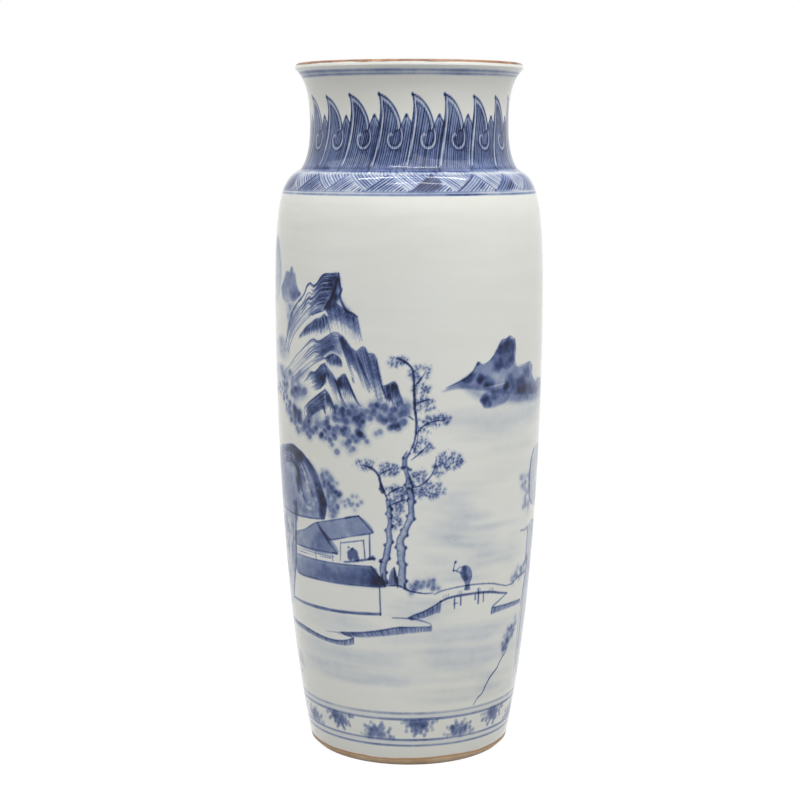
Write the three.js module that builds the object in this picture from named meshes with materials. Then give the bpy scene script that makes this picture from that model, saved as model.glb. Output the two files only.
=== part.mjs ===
import * as THREE from 'three';

// A sleeve vase thrown in four sections, millimetres, +Z up, standing on the origin.

// Turned foot and floor
const FOOT_CONTACT_RADIUS = 62.5;
const FOOT_RING_WIDTH = 12;
const FOOT_CHAMFER_HEIGHT = 3.5;
const FOOT_CHAMFER_WIDTH = 3.7;
const FOOT_RECESS_DEPTH = 2.5;
const FOOT_RECESS_DRAFT = 1;
const FLOOR_THICKNESS = 9;
const FLOOR_FILLET_RADIUS = 12;

// Outline of the body, as rises from the foot chamfer to the lip
const BODY_RADIUS = 88.05;
const BODY_RISE = 286.5;
const BODY_LEAN = 0.212;
const BODY_LOWER_FULLNESS = 97.8;
const BODY_UPPER_FULLNESS = 34.6;
const SHOULDER_RISE = 92.5;
const SHOULDER_FULLNESS = 72.8;
const SHOULDER_SLOPE = 2.23;
const SHOULDER_EASE = 5.9;
const NECK_ROOT_RADIUS = 70.9;
const NECK_RADIUS = 64.5;
const NECK_RISE = 29.5;
const NECK_ROOT_EASE = 5.5;
const NECK_ROOT_DRAW = 4.4;
const NECK_EASE = 14;
const LIP_RADIUS = 73.9;
const LIP_RISE = 34.5;
const FLARE_EASE = 18;
const FLARE_HEIGHT = 6;
const FLARE_SWEEP = 6.7;
const LIP_CREST_RISE = 3.1;

// Thickness of the wall
const FOOT_WALL = 8;
const BODY_WALL = 7;
const NECK_WALL = 6;

// Where the thrown sections meet, and the slip between them
const BASE_SECTION_HEIGHT = 42;
const LOWER_BODY_HEIGHT = 148;
const SLIP_THICKNESS = 0.8;

// Iron-brown dressing on the lip
const DRESSING_WIDTH = 3.2;
const DRESSING_THICKNESS = 0.4;
const DRESSING_EDGE = 0.45;

// Facets
const FACETS_AROUND = 48;
const BODY_STEPS = 9;
const SHOULDER_STEPS = 9;
const NECK_STEPS = 5;
const LIP_STEPS = 6;
const FILLET_STEPS = 4;
const LEAST_STEP = 1.5;

const footEdgeRadius = FOOT_CONTACT_RADIUS + FOOT_CHAMFER_WIDTH;
const widestHeight = FOOT_CHAMFER_HEIGHT + BODY_RISE;
const neckRootHeight = widestHeight + SHOULDER_RISE;
const neckHeight = neckRootHeight + NECK_RISE;
const lipHeight = neckHeight + LIP_RISE;
const crestHeight = lipHeight + LIP_CREST_RISE;
const waistJointHeight = BASE_SECTION_HEIGHT + LOWER_BODY_HEIGHT;
const floorHeight = FOOT_RECESS_DEPTH + FLOOR_THICKNESS;
const halfSlip = SLIP_THICKNESS / 2;

const at = (radius, height) => new THREE.Vector2(radius, height);

const fullBody = new THREE.CubicBezierCurve(
  at(footEdgeRadius, FOOT_CHAMFER_HEIGHT),
  at(footEdgeRadius + BODY_LEAN * BODY_LOWER_FULLNESS, FOOT_CHAMFER_HEIGHT + BODY_LOWER_FULLNESS),
  at(BODY_RADIUS, widestHeight - BODY_UPPER_FULLNESS),
  at(BODY_RADIUS, widestHeight)
);
const shoulder = new THREE.CubicBezierCurve(
  at(BODY_RADIUS, widestHeight),
  at(BODY_RADIUS, widestHeight + SHOULDER_FULLNESS),
  at(NECK_ROOT_RADIUS + SHOULDER_SLOPE * SHOULDER_EASE, neckRootHeight - SHOULDER_EASE),
  at(NECK_ROOT_RADIUS, neckRootHeight)
);
const lowerNeck = new THREE.CubicBezierCurve(
  at(NECK_ROOT_RADIUS, neckRootHeight),
  at(NECK_ROOT_RADIUS - NECK_ROOT_DRAW, neckRootHeight + NECK_ROOT_EASE),
  at(NECK_RADIUS, neckHeight - NECK_EASE),
  at(NECK_RADIUS, neckHeight)
);
const flare = new THREE.CubicBezierCurve(
  at(NECK_RADIUS, neckHeight),
  at(NECK_RADIUS, neckHeight + FLARE_EASE),
  at(LIP_RADIUS - FLARE_SWEEP, lipHeight - FLARE_HEIGHT),
  at(LIP_RADIUS, lipHeight)
);

// The outline in four stretches, each with its wall at the lower and the upper end
const stretches = [
  { curve: fullBody, steps: BODY_STEPS, walls: [FOOT_WALL, BODY_WALL] },
  { curve: shoulder, steps: SHOULDER_STEPS, walls: [BODY_WALL, BODY_WALL] },
  { curve: lowerNeck, steps: NECK_STEPS, walls: [BODY_WALL, NECK_WALL] },
  { curve: flare, steps: LIP_STEPS, walls: [NECK_WALL, NECK_WALL] }
];
const outside = [];
const inside = [];
stretches.forEach(({ curve, steps, walls }, index) => {
  for (let step = index === 0 ? 0 : 1; step <= steps; step += 1) {
    const t = step / steps;
    const point = curve.getPoint(t);
    const along = curve.getTangent(t);
    const wall = THREE.MathUtils.lerp(walls[0], walls[1], t);
    outside.push(point);
    inside.push(at(point.x - wall * along.y, point.y + wall * along.x));
  }
});

// The radius of a line of points at a height between two of them
function radiusAt(line, height) {
  const upper = line.findIndex((point) => point.y >= height);
  const [a, b] = [line[Math.max(upper - 1, 0)], line[Math.max(upper, 1)]];
  return THREE.MathUtils.mapLinear(height, a.y, b.y, a.x, b.x);
}

// The points of a line from one height up to another
function climb(line, from, to) {
  const between = line.filter((point) => point.y > from + LEAST_STEP && point.y < to - LEAST_STEP);
  return [at(radiusAt(line, from), from), ...between, at(radiusAt(line, to), to)];
}

function ringOfWall(from, to) {
  const points = [...climb(outside, from, to), ...climb(inside, from, to).reverse()];
  return [...points, points[0].clone()];
}

// An elliptical quarter turn from one point to another, leaving the first one straight up or level
function quarterTurn(from, to, leavesUpright) {
  const points = [];
  for (let step = 1; step < FILLET_STEPS; step += 1) {
    const angle = (step / FILLET_STEPS) * Math.PI / 2;
    const early = 1 - Math.cos(angle);
    const late = Math.sin(angle);
    points.push(leavesUpright
      ? at(THREE.MathUtils.lerp(from.x, to.x, early), THREE.MathUtils.lerp(from.y, to.y, late))
      : at(THREE.MathUtils.lerp(from.x, to.x, late), THREE.MathUtils.lerp(from.y, to.y, early)));
  }
  return points;
}

// The floor with its turned foot and the first low wall
function baseSection() {
  const top = BASE_SECTION_HEIGHT - halfSlip;
  const filletTop = floorHeight + FLOOR_FILLET_RADIUS;
  const innerWall = climb(inside, filletTop, top).reverse();
  const wallFoot = innerWall[innerWall.length - 1];
  const floorEdge = at(wallFoot.x - FLOOR_FILLET_RADIUS, floorHeight);
  const ringInside = FOOT_CONTACT_RADIUS - FOOT_RING_WIDTH;
  return [
    at(0, FOOT_RECESS_DEPTH),
    at(ringInside - FOOT_RECESS_DRAFT, FOOT_RECESS_DEPTH),
    at(ringInside, 0),
    at(FOOT_CONTACT_RADIUS, 0),
    ...climb(outside, FOOT_CHAMFER_HEIGHT, top),
    ...innerWall,
    ...quarterTurn(wallFoot, floorEdge, true),
    floorEdge,
    at(0, floorHeight)
  ];
}

// The neck with its flared lip, rounded up to a flat crest that carries the dressing
function neckSection() {
  const from = neckRootHeight + halfSlip;
  const crestRadius = LIP_RADIUS - NECK_WALL / 2;
  const outerLip = at(LIP_RADIUS, lipHeight);
  const innerLip = at(LIP_RADIUS - NECK_WALL, lipHeight);
  const crestOutside = at(crestRadius + DRESSING_WIDTH / 2, crestHeight);
  const crestInside = at(crestRadius - DRESSING_WIDTH / 2, crestHeight);
  const throat = inside.filter((point) => point.y > from + LEAST_STEP
    && point.y < lipHeight - LEAST_STEP && point.x < innerLip.x).reverse();
  const points = [
    ...climb(outside, from, lipHeight),
    ...quarterTurn(outerLip, crestOutside, true),
    crestOutside,
    crestInside,
    ...quarterTurn(crestInside, innerLip, false),
    innerLip,
    ...throat,
    at(radiusAt(inside, from), from)
  ];
  return [...points, points[0].clone()];
}

// The brown line painted along the crest of the lip
function dressingRing() {
  const middle = LIP_RADIUS - NECK_WALL / 2;
  const half = DRESSING_WIDTH / 2;
  const topHalf = half - DRESSING_EDGE;
  const shoulderHalf = half - DRESSING_EDGE / 3;
  const shoulderHeight = crestHeight + DRESSING_THICKNESS * 0.6;
  const top = crestHeight + DRESSING_THICKNESS;
  const points = [
    at(middle + half, crestHeight),
    at(middle + shoulderHalf, shoulderHeight),
    at(middle + topHalf, top),
    at(middle - topHalf, top),
    at(middle - shoulderHalf, shoulderHeight),
    at(middle - half, crestHeight)
  ];
  return [...points, points[0].clone()];
}

const porcelain = new THREE.MeshStandardMaterial({ color: 0xd6d9d3, roughness: 0.2, metalness: 0 });
const slip = new THREE.MeshStandardMaterial({ color: 0xcfd1cb, roughness: 0.35, metalness: 0 });
const ironBrown = new THREE.MeshStandardMaterial({ color: 0x9c6337, roughness: 0.35, metalness: 0 });

const vase = new THREE.Group();

function turn(name, profile, material) {
  const geometry = new THREE.LatheGeometry(profile, FACETS_AROUND);
  const mesh = new THREE.Mesh(geometry, material);
  mesh.name = name;
  mesh.rotation.x = Math.PI / 2;
  vase.add(mesh);
}

function luteAt(height) {
  return ringOfWall(height - halfSlip, height + halfSlip);
}

turn('base_section', baseSection(), porcelain);
turn('base_lute', luteAt(BASE_SECTION_HEIGHT), slip);
turn('lower_body', ringOfWall(BASE_SECTION_HEIGHT + halfSlip, waistJointHeight - halfSlip), porcelain);
turn('waist_lute', luteAt(waistJointHeight), slip);
turn('upper_body', ringOfWall(waistJointHeight + halfSlip, neckRootHeight - halfSlip), porcelain);
turn('neck_lute', luteAt(neckRootHeight), slip);
turn('neck', neckSection(), porcelain);
turn('rim_dressing', dressingRing(), ironBrown);

export default vase;
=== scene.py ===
import math

import bpy
import numpy as np
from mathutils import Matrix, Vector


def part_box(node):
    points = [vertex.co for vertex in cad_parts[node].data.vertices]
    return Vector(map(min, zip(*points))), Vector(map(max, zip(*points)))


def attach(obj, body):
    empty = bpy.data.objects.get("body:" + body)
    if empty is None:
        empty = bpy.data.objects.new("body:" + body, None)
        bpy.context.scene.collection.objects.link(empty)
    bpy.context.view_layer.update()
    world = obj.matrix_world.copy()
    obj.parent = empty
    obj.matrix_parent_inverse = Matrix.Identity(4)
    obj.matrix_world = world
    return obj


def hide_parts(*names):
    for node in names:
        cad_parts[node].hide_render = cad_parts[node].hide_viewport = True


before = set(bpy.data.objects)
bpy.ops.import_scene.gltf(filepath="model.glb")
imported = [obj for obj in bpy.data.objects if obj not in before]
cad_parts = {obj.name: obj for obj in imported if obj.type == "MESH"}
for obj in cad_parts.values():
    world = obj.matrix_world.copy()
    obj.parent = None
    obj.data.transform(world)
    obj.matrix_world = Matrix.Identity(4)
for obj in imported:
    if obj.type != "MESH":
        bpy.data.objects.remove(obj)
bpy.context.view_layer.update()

chance = np.random.default_rng(17)

# Foot and floor
# The turned foot, the floor and the first few millimetres of wall, thrown as one piece of porcelain.
# The foot ring and the underside are left without glaze, and the fire has burnt their edge orange.
FOOT_CONTACT_RADIUS = 0.0625
FOOT_RING_WIDTH = 0.012
FOOT_RECESS_DEPTH = 0.0025
FOOT_CHAMFER_HEIGHT = 0.0035
FOOT_CHAMFER_WIDTH = 0.0037
FLOOR_THICKNESS = 0.009
FLOOR_FILLET_RADIUS = 0.012
BODY_RADIUS = 0.08805
BODY_LEAN = 0.212
BODY_RISE = 0.2865
BODY_LOWER_FULLNESS = 0.0978
BODY_UPPER_FULLNESS = 0.0346
SHOULDER_RISE = 0.0925
SHOULDER_FULLNESS = 0.0728
SHOULDER_SLOPE = 2.23
SHOULDER_EASE = 0.0059
NECK_ROOT_RADIUS = 0.0709
NECK_ROOT_EASE = 0.0055
NECK_ROOT_DRAW = 0.0044
NECK_RADIUS = 0.0645
NECK_RISE = 0.0295
NECK_EASE = 0.014
LIP_RADIUS = 0.0739
LIP_RISE = 0.0345
FLARE_EASE = 0.018
FLARE_HEIGHT = 0.006
FLARE_SWEEP = 0.0067
FOOT_WALL = 0.008
BODY_WALL = 0.007
NECK_WALL = 0.006
BARE_FOOT_HEIGHT = 0.0061
BARE_FOOT_DRIFT = 0.0030
BARE_FOOT_BLUR = 0.0007
BARE_ROUGHNESS = 0.72
BURNT_EDGE_WIDTH = 0.0009
# the dark band at the very bottom of the foot ring: painted contact shadow where the foot meets the floor,
# and grime on the worn ring
CONTACT_SHADOW_AND_GRIME_HEIGHT = 0.0009
CONTACT_SHADOW_AND_GRIME_BLUR = 0.0008
GRAIN_SCALE = 900.0
SMEAR_SCALE = 60.0
DRIFT_SCALE = 38.0

foot_edge_radius = FOOT_CONTACT_RADIUS + FOOT_CHAMFER_WIDTH
widest_height = FOOT_CHAMFER_HEIGHT + BODY_RISE
neck_root_height = widest_height + SHOULDER_RISE
neck_height = neck_root_height + NECK_RISE
lip_height = neck_height + LIP_RISE
floor_height = FOOT_RECESS_DEPTH + FLOOR_THICKNESS


def swept_curve(start, start_handle, end_handle, end, steps=160):
    """Points of one smooth stretch of the outline, and the direction along it."""
    t = np.linspace(0, 1, steps)[:, None]
    a, b, c, d = (np.array(point) for point in (start, start_handle, end_handle, end))
    points = (1 - t) ** 3 * a + 3 * (1 - t) ** 2 * t * b + 3 * (1 - t) * t ** 2 * c + t ** 3 * d
    along = (1 - t) ** 2 * (b - a) + 2 * (1 - t) * t * (c - b) + t ** 2 * (d - c)
    return points, along / np.linalg.norm(along, axis=1)[:, None]


def wall_outline():
    """The outside of the wall from the foot chamfer to the lip, and the inside at the wall's thickness."""
    stretches = [
        (swept_curve((foot_edge_radius, FOOT_CHAMFER_HEIGHT),
                     (foot_edge_radius + BODY_LEAN * BODY_LOWER_FULLNESS,
                      FOOT_CHAMFER_HEIGHT + BODY_LOWER_FULLNESS),
                     (BODY_RADIUS, widest_height - BODY_UPPER_FULLNESS),
                     (BODY_RADIUS, widest_height)), FOOT_WALL, BODY_WALL),
        (swept_curve((BODY_RADIUS, widest_height),
                     (BODY_RADIUS, widest_height + SHOULDER_FULLNESS),
                     (NECK_ROOT_RADIUS + SHOULDER_SLOPE * SHOULDER_EASE, neck_root_height - SHOULDER_EASE),
                     (NECK_ROOT_RADIUS, neck_root_height)), BODY_WALL, BODY_WALL),
        (swept_curve((NECK_ROOT_RADIUS, neck_root_height),
                     (NECK_ROOT_RADIUS - NECK_ROOT_DRAW, neck_root_height + NECK_ROOT_EASE),
                     (NECK_RADIUS, neck_height - NECK_EASE),
                     (NECK_RADIUS, neck_height)), BODY_WALL, NECK_WALL),
        (swept_curve((NECK_RADIUS, neck_height),
                     (NECK_RADIUS, neck_height + FLARE_EASE),
                     (LIP_RADIUS - FLARE_SWEEP, lip_height - FLARE_HEIGHT),
                     (LIP_RADIUS, lip_height)), NECK_WALL, NECK_WALL)]
    outer, inner = [], []
    for (points, along), low_wall, high_wall in stretches:
        wall = np.linspace(low_wall, high_wall, len(points))
        outer.append(points)
        inner.append(points + np.stack([-along[:, 1] * wall, along[:, 0] * wall], axis=1))
    return np.concatenate(outer), np.concatenate(inner)


outer_line, inner_line = wall_outline()


def outer_radius(height):
    return np.interp(height, outer_line[:, 1], outer_line[:, 0])


def inner_radius(height):
    return np.interp(height, inner_line[:, 1], inner_line[:, 0])


def throw_on_wheel(name, section, turns):
    """Draws a section by extruding one vertex from point to point, then turns it round the axis."""
    bpy.ops.object.select_all(action="DESELECT")
    bpy.ops.mesh.primitive_plane_add(size=0.001, location=(section[0][0], 0, section[0][1]))
    piece = bpy.context.object
    piece.name = name
    bpy.ops.object.transform_apply(location=True, rotation=True, scale=True)
    bpy.ops.object.mode_set(mode="EDIT")
    bpy.ops.mesh.select_all(action="SELECT")
    bpy.ops.mesh.merge(type="CENTER")
    for (r0, z0), (r1, z1) in zip(section, section[1:]):
        bpy.ops.mesh.extrude_vertices_move(TRANSFORM_OT_translate={"value": (r1 - r0, 0, z1 - z0)})
    bpy.ops.object.mode_set(mode="OBJECT")
    wheel = piece.modifiers.new("wheel", "SCREW")
    wheel.steps = wheel.render_steps = turns
    wheel.use_merge_vertices = True
    wheel.merge_threshold = 0.00002
    bpy.ops.object.modifier_apply(modifier="wheel")
    bpy.ops.object.mode_set(mode="EDIT")
    bpy.ops.mesh.select_all(action="SELECT")
    bpy.ops.mesh.remove_doubles(threshold=0.00002)
    bpy.ops.mesh.normals_make_consistent(inside=False)
    bpy.ops.object.mode_set(mode="OBJECT")
    bpy.ops.object.shade_smooth_by_angle(angle=math.radians(40))
    return piece


def quarter_round(start, end, upright_first, steps=8):
    """Points between two corners along a quarter of an ellipse."""
    (r0, z0), (r1, z1) = start, end
    points = []
    for step in range(1, steps):
        turn = step / steps * math.pi / 2
        early, late = 1 - math.cos(turn), math.sin(turn)
        across, up = (early, late) if upright_first else (late, early)
        points.append((r0 + (r1 - r0) * across, z0 + (z1 - z0) * up))
    return points


def plain_nodes(name):
    """A new material with only its shader and its output."""
    material = bpy.data.materials.new(name)
    material.use_nodes = True
    return material, material.node_tree.nodes, material.node_tree.links


def noise_node(nodes, links, coordinates, scale, detail=2.0, roughness=0.5):
    noise = nodes.new("ShaderNodeTexNoise")
    noise.inputs["Scale"].default_value = scale
    noise.inputs["Detail"].default_value = detail
    noise.inputs["Roughness"].default_value = roughness
    links.new(coordinates, noise.inputs["Vector"])
    return noise


def ramp_node(nodes, links, value, stops):
    ramp = nodes.new("ShaderNodeValToRGB")
    elements = ramp.color_ramp.elements
    elements[0].position, elements[0].color = stops[0][0], (*stops[0][1], 1)
    elements[1].position, elements[1].color = stops[-1][0], (*stops[-1][1], 1)
    for position, colour in stops[1:-1]:
        elements.new(position).color = (*colour, 1)
    links.new(value, ramp.inputs["Fac"])
    return ramp.outputs["Color"]


def math_node(nodes, links, operation, *values):
    node = nodes.new("ShaderNodeMath")
    node.operation = operation
    for socket, value in zip(node.inputs, values):
        if isinstance(value, (int, float)):
            socket.default_value = value
        else:
            links.new(value, socket)
    return node.outputs[0]


def mix_colours(nodes, links, share, first, second, blend="MIX"):
    mix = nodes.new("ShaderNodeMix")
    mix.data_type = "RGBA"
    mix.blend_type = blend
    for socket, value in zip((mix.inputs[0], mix.inputs[6], mix.inputs[7]), (share, first, second)):
        if isinstance(value, tuple):
            socket.default_value = (*value, 1)
        elif isinstance(value, (int, float)):
            socket.default_value = value
        else:
            links.new(value, socket)
    return mix.outputs[2]


def bump_node(nodes, links, height, strength, distance):
    bump = nodes.new("ShaderNodeBump")
    bump.inputs["Strength"].default_value = strength
    bump.inputs["Distance"].default_value = distance
    links.new(height, bump.inputs["Height"])
    return bump.outputs["Normal"]


def step_at(nodes, links, height, edge, blur):
    """0 below a height and 1 above it, with a soft change over the blur."""
    above = math_node(nodes, links, "SUBTRACT", height, edge)
    level = math_node(nodes, links, "MULTIPLY_ADD", above, 1 / blur, 0.5)
    return math_node(nodes, links, "MINIMUM", math_node(nodes, links, "MAXIMUM", level, 0.0), 1.0)


COBALT_STOPS = [
    (0.0, (0.680, 0.690, 0.655)),
    (0.10, (0.515, 0.550, 0.580)),
    (0.28, (0.205, 0.256, 0.400)),
    (0.50, (0.078, 0.114, 0.255)),
    (0.72, (0.018, 0.038, 0.130)),
    (1.0, (0.001, 0.003, 0.028))]
SPECK_BROWN = (0.10, 0.07, 0.05)
SPECK_SCALE = 70.0
SPECKS_CHOSEN_ABOVE = 0.93
POOL_SCALE = 210.0
BLOOM_SCALE = 45.0
WARM_PATCH_SCALE = 9.0
WAVE_SCALE = 16.0
PEEL_SCALE = 330.0
PEEL_SHARE = 0.035
GLAZE_ROUGHNESS = 0.09
GLAZE_IOR = 1.37


def glaze_colour(nodes, links, place):
    """The colour of clear glaze over white porcelain, with cobalt under it where it was painted."""
    ink = nodes.new("ShaderNodeAttribute")
    ink.attribute_name = "cobalt"
    pool = noise_node(nodes, links, place, POOL_SCALE, 3.0)
    bloom = noise_node(nodes, links, place, BLOOM_SCALE, 2.0)
    strength = math_node(nodes, links, "MULTIPLY_ADD", pool.outputs["Fac"], 0.74, 0.61)
    strength = math_node(nodes, links, "MULTIPLY", strength, math_node(
        nodes, links, "ADD", bloom.outputs["Fac"], 0.5))
    painted = math_node(nodes, links, "MULTIPLY", ink.outputs["Fac"], strength)
    blue = ramp_node(nodes, links, painted, COBALT_STOPS)
    patches = noise_node(nodes, links, place, WARM_PATCH_SCALE, 3.0)
    warmth = ramp_node(nodes, links, patches.outputs["Fac"],
                       [(0.35, (1.0, 1.0, 1.0)), (0.75, (0.965, 0.950, 0.910))])
    colour = mix_colours(nodes, links, 1.0, blue, warmth, "MULTIPLY")
    specks = nodes.new("ShaderNodeTexVoronoi")
    specks.inputs["Scale"].default_value = SPECK_SCALE
    links.new(place, specks.inputs["Vector"])
    near = ramp_node(nodes, links, specks.outputs["Distance"],
                     [(0.015, (0.75, 0.75, 0.75)), (0.045, (0.0, 0.0, 0.0))])
    chosen = nodes.new("ShaderNodeSeparateColor")
    links.new(specks.outputs["Color"], chosen.inputs["Color"])
    few = math_node(nodes, links, "GREATER_THAN", chosen.outputs[0], SPECKS_CHOSEN_ABOVE)
    return mix_colours(nodes, links, math_node(nodes, links, "MULTIPLY", near, few), colour, SPECK_BROWN)


def glaze_relief(nodes, links, place):
    """The faint waves that the wheel and the dipping leave in the glaze."""
    stretch = nodes.new("ShaderNodeMapping")
    stretch.inputs["Scale"].default_value = (1.0, 1.0, 4.5)
    links.new(place, stretch.inputs["Vector"])
    waves = noise_node(nodes, links, stretch.outputs["Vector"], WAVE_SCALE, 2.0)
    peel = noise_node(nodes, links, place, PEEL_SCALE, 1.0)
    height = math_node(nodes, links, "ADD", waves.outputs["Fac"],
                       math_node(nodes, links, "MULTIPLY", peel.outputs["Fac"], PEEL_SHARE))
    return bump_node(nodes, links, height, 0.35, 0.0016)


def painted_glaze():
    material, nodes, links = plain_nodes("painted_glaze")
    place = nodes.new("ShaderNodeTexCoord").outputs["Object"]
    shader = nodes["Principled BSDF"]
    links.new(glaze_colour(nodes, links, place), shader.inputs["Base Color"])
    links.new(glaze_relief(nodes, links, place), shader.inputs["Normal"])
    shader.inputs["Roughness"].default_value = GLAZE_ROUGHNESS
    shader.inputs["IOR"].default_value = GLAZE_IOR
    return material


def foot_finish():
    """Glaze above, and the bare burnt foot below an uneven edge."""
    material, nodes, links = plain_nodes("burnt_foot")
    place = nodes.new("ShaderNodeTexCoord").outputs["Object"]
    shader = nodes["Principled BSDF"]
    up = nodes.new("ShaderNodeSeparateXYZ")
    links.new(place, up.inputs["Vector"])
    height = up.outputs["Z"]
    grains = noise_node(nodes, links, place, GRAIN_SCALE, 4.0).outputs["Fac"]
    smears = noise_node(nodes, links, place, SMEAR_SCALE, 3.0).outputs["Fac"]
    drift = noise_node(nodes, links, place, DRIFT_SCALE, 2.0).outputs["Fac"]
    bare = ramp_node(nodes, links, smears,
                     [(0.30, (0.54, 0.43, 0.30)), (0.50, (0.48, 0.33, 0.19)),
                      (0.62, (0.38, 0.22, 0.11)), (0.75, (0.22, 0.12, 0.06))])
    bare = mix_colours(nodes, links, grains, bare, (0.52, 0.38, 0.25))
    # below that height the bare clay turns dark brown: a painted contact shadow along the floor, together
    # with grime on the worn ring
    clear_of_shadow_and_grime = step_at(nodes, links, height, CONTACT_SHADOW_AND_GRIME_HEIGHT, CONTACT_SHADOW_AND_GRIME_BLUR)
    bare = mix_colours(nodes, links, clear_of_shadow_and_grime, (0.12, 0.08, 0.06), bare)
    edge = math_node(nodes, links, "MULTIPLY_ADD", drift, BARE_FOOT_DRIFT,
                     BARE_FOOT_HEIGHT - BARE_FOOT_DRIFT / 2)
    burnt_from = math_node(nodes, links, "SUBTRACT", edge, BURNT_EDGE_WIDTH)
    burnt = step_at(nodes, links, height, burnt_from, BURNT_EDGE_WIDTH)
    bare = mix_colours(nodes, links, burnt, bare, (0.40, 0.19, 0.075))
    glazed = step_at(nodes, links, height, edge, BARE_FOOT_BLUR)
    colour = mix_colours(nodes, links, glazed, bare, glaze_colour(nodes, links, place))
    links.new(colour, shader.inputs["Base Color"])
    links.new(math_node(nodes, links, "MULTIPLY_ADD", glazed, GLAZE_ROUGHNESS - BARE_ROUGHNESS,
                        BARE_ROUGHNESS),
              shader.inputs["Roughness"])
    grit = math_node(nodes, links, "MULTIPLY", grains, math_node(nodes, links, "SUBTRACT", 1.0, glazed))
    links.new(bump_node(nodes, links, grit, 0.35, 0.0004), shader.inputs["Normal"])
    return material


def foot_section():
    ring_inside = FOOT_CONTACT_RADIUS - FOOT_RING_WIDTH
    worn = 0.0004
    wall_foot = (inner_radius(floor_height + FLOOR_FILLET_RADIUS), floor_height + FLOOR_FILLET_RADIUS)
    floor_edge = (wall_foot[0] - FLOOR_FILLET_RADIUS, floor_height)
    return [
        (0, FOOT_RECESS_DEPTH), (0.020, FOOT_RECESS_DEPTH), (0.040, FOOT_RECESS_DEPTH),
        (ring_inside - 0.002, FOOT_RECESS_DEPTH), (ring_inside - 0.0006, FOOT_RECESS_DEPTH - 0.0004),
        (ring_inside, worn), (ring_inside + worn, 0),
        (FOOT_CONTACT_RADIUS - worn, 0), (FOOT_CONTACT_RADIUS + worn, worn),
        (foot_edge_radius - worn, FOOT_CHAMFER_HEIGHT - worn),
        *[(outer_radius(h), h) for h in np.linspace(FOOT_CHAMFER_HEIGHT, wall_foot[1], 36)],
        wall_foot, *quarter_round(wall_foot, floor_edge, True), floor_edge,
        (0.040, floor_height), (0.025, floor_height), (0.010, floor_height), (0, floor_height)]


glaze = painted_glaze()
burnt_foot = foot_finish()
border_low = floor_height + FLOOR_FILLET_RADIUS

# Stage, light and camera
# A pale floor and world, two high windows, two thin lamps and a camera where the photograph was taken from.
CAMERA_PLACE = (-0.0060, -1.166, 0.399)
CAMERA_PITCH = 0.1438
CAMERA_LENS = 79.7
CAMERA_SENSOR = 36.0
SKY_LEVEL = 0.33
FLOOR_SIZE = 12.0
FLOOR_HEIGHT = -0.0002
FLOOR_GREY = 0.55
FLOOR_GLOW_SHARE = 0.80
FLOOR_GLOW = 1.20


def white_for_eye(nodes, links):
    """1 for camera, glossy and transmission rays, so that they see the white surroundings."""
    path = nodes.new("ShaderNodeLightPath")
    seen = math_node(nodes, links, "MAXIMUM", path.outputs["Is Camera Ray"], path.outputs["Is Glossy Ray"])
    return math_node(nodes, links, "MAXIMUM", seen, path.outputs["Is Transmission Ray"])


def pale_floor():
    bpy.ops.object.select_all(action="DESELECT")
    bpy.ops.mesh.primitive_plane_add(size=FLOOR_SIZE, location=(0, 0, FLOOR_HEIGHT))
    floor = bpy.context.object
    floor.name = "pale_floor"
    bpy.ops.object.transform_apply(location=True)
    material, nodes, links = plain_nodes("pale_floor")
    matt = nodes["Principled BSDF"]
    matt.inputs["Base Color"].default_value = (FLOOR_GREY, FLOOR_GREY, FLOOR_GREY, 1)
    matt.inputs["Roughness"].default_value = 1.0
    matt.inputs["Specular IOR Level"].default_value = 0.0
    glow = nodes.new("ShaderNodeEmission")
    glow.inputs["Strength"].default_value = FLOOR_GLOW
    mix = nodes.new("ShaderNodeMixShader")
    links.new(math_node(nodes, links, "MULTIPLY", white_for_eye(nodes, links), FLOOR_GLOW_SHARE),
              mix.inputs[0])
    links.new(matt.outputs[0], mix.inputs[1])
    links.new(glow.outputs[0], mix.inputs[2])
    links.new(mix.outputs[0], nodes["Material Output"].inputs["Surface"])
    floor.data.materials.append(material)


def pale_world():
    world = bpy.data.worlds.new("pale_world")
    bpy.context.scene.world = world
    world.use_nodes = True
    nodes, links = world.node_tree.nodes, world.node_tree.links
    background = nodes["Background"]
    background.inputs["Color"].default_value = (1, 1, 1, 1)
    level = math_node(nodes, links, "MULTIPLY_ADD", white_for_eye(nodes, links), 1 - SKY_LEVEL, SKY_LEVEL)
    links.new(level, background.inputs["Strength"])


def soft_lamp(name, place, aim, width, height, watts):
    lamp = bpy.data.lights.new(name, "AREA")
    lamp.shape = "RECTANGLE"
    lamp.size, lamp.size_y, lamp.energy = width, height, watts
    holder = bpy.data.objects.new(name, lamp)
    bpy.context.scene.collection.objects.link(holder)
    holder.location = place
    direction = np.array(aim) - np.array(place)
    holder.rotation_euler = (
        math.atan2(math.hypot(direction[0], direction[1]), -direction[2]), 0,
        math.atan2(direction[0], direction[1]) * -1)


pale_floor()
pale_world()
soft_lamp("window_right", (0.50, -0.62, 1.62), (0, 0, 0.25), 1.8, 1.3, 23.0)
soft_lamp("window_left", (-1.00, -0.18, 1.50), (0, 0, 0.25), 1.5, 1.2, 9.5)
soft_lamp("strip_above", (0.05, -0.02, 1.40), (0.05, 0, 0.38), 1.2, 0.06, 8.0)
soft_lamp("strip_in_front", (0.09, -0.62, 1.42), (0, 0, 0.38), 0.9, 0.04, 3.0)
camera = bpy.data.objects.new("camera", bpy.data.cameras.new("camera"))
bpy.context.scene.collection.objects.link(camera)
camera.location = CAMERA_PLACE
camera.rotation_euler = (math.pi / 2 - CAMERA_PITCH, 0, 0)
camera.data.lens = CAMERA_LENS
camera.data.sensor_width = CAMERA_SENSOR
bpy.context.scene.camera = camera
bpy.context.scene.view_settings.view_transform = "Standard"

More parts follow.
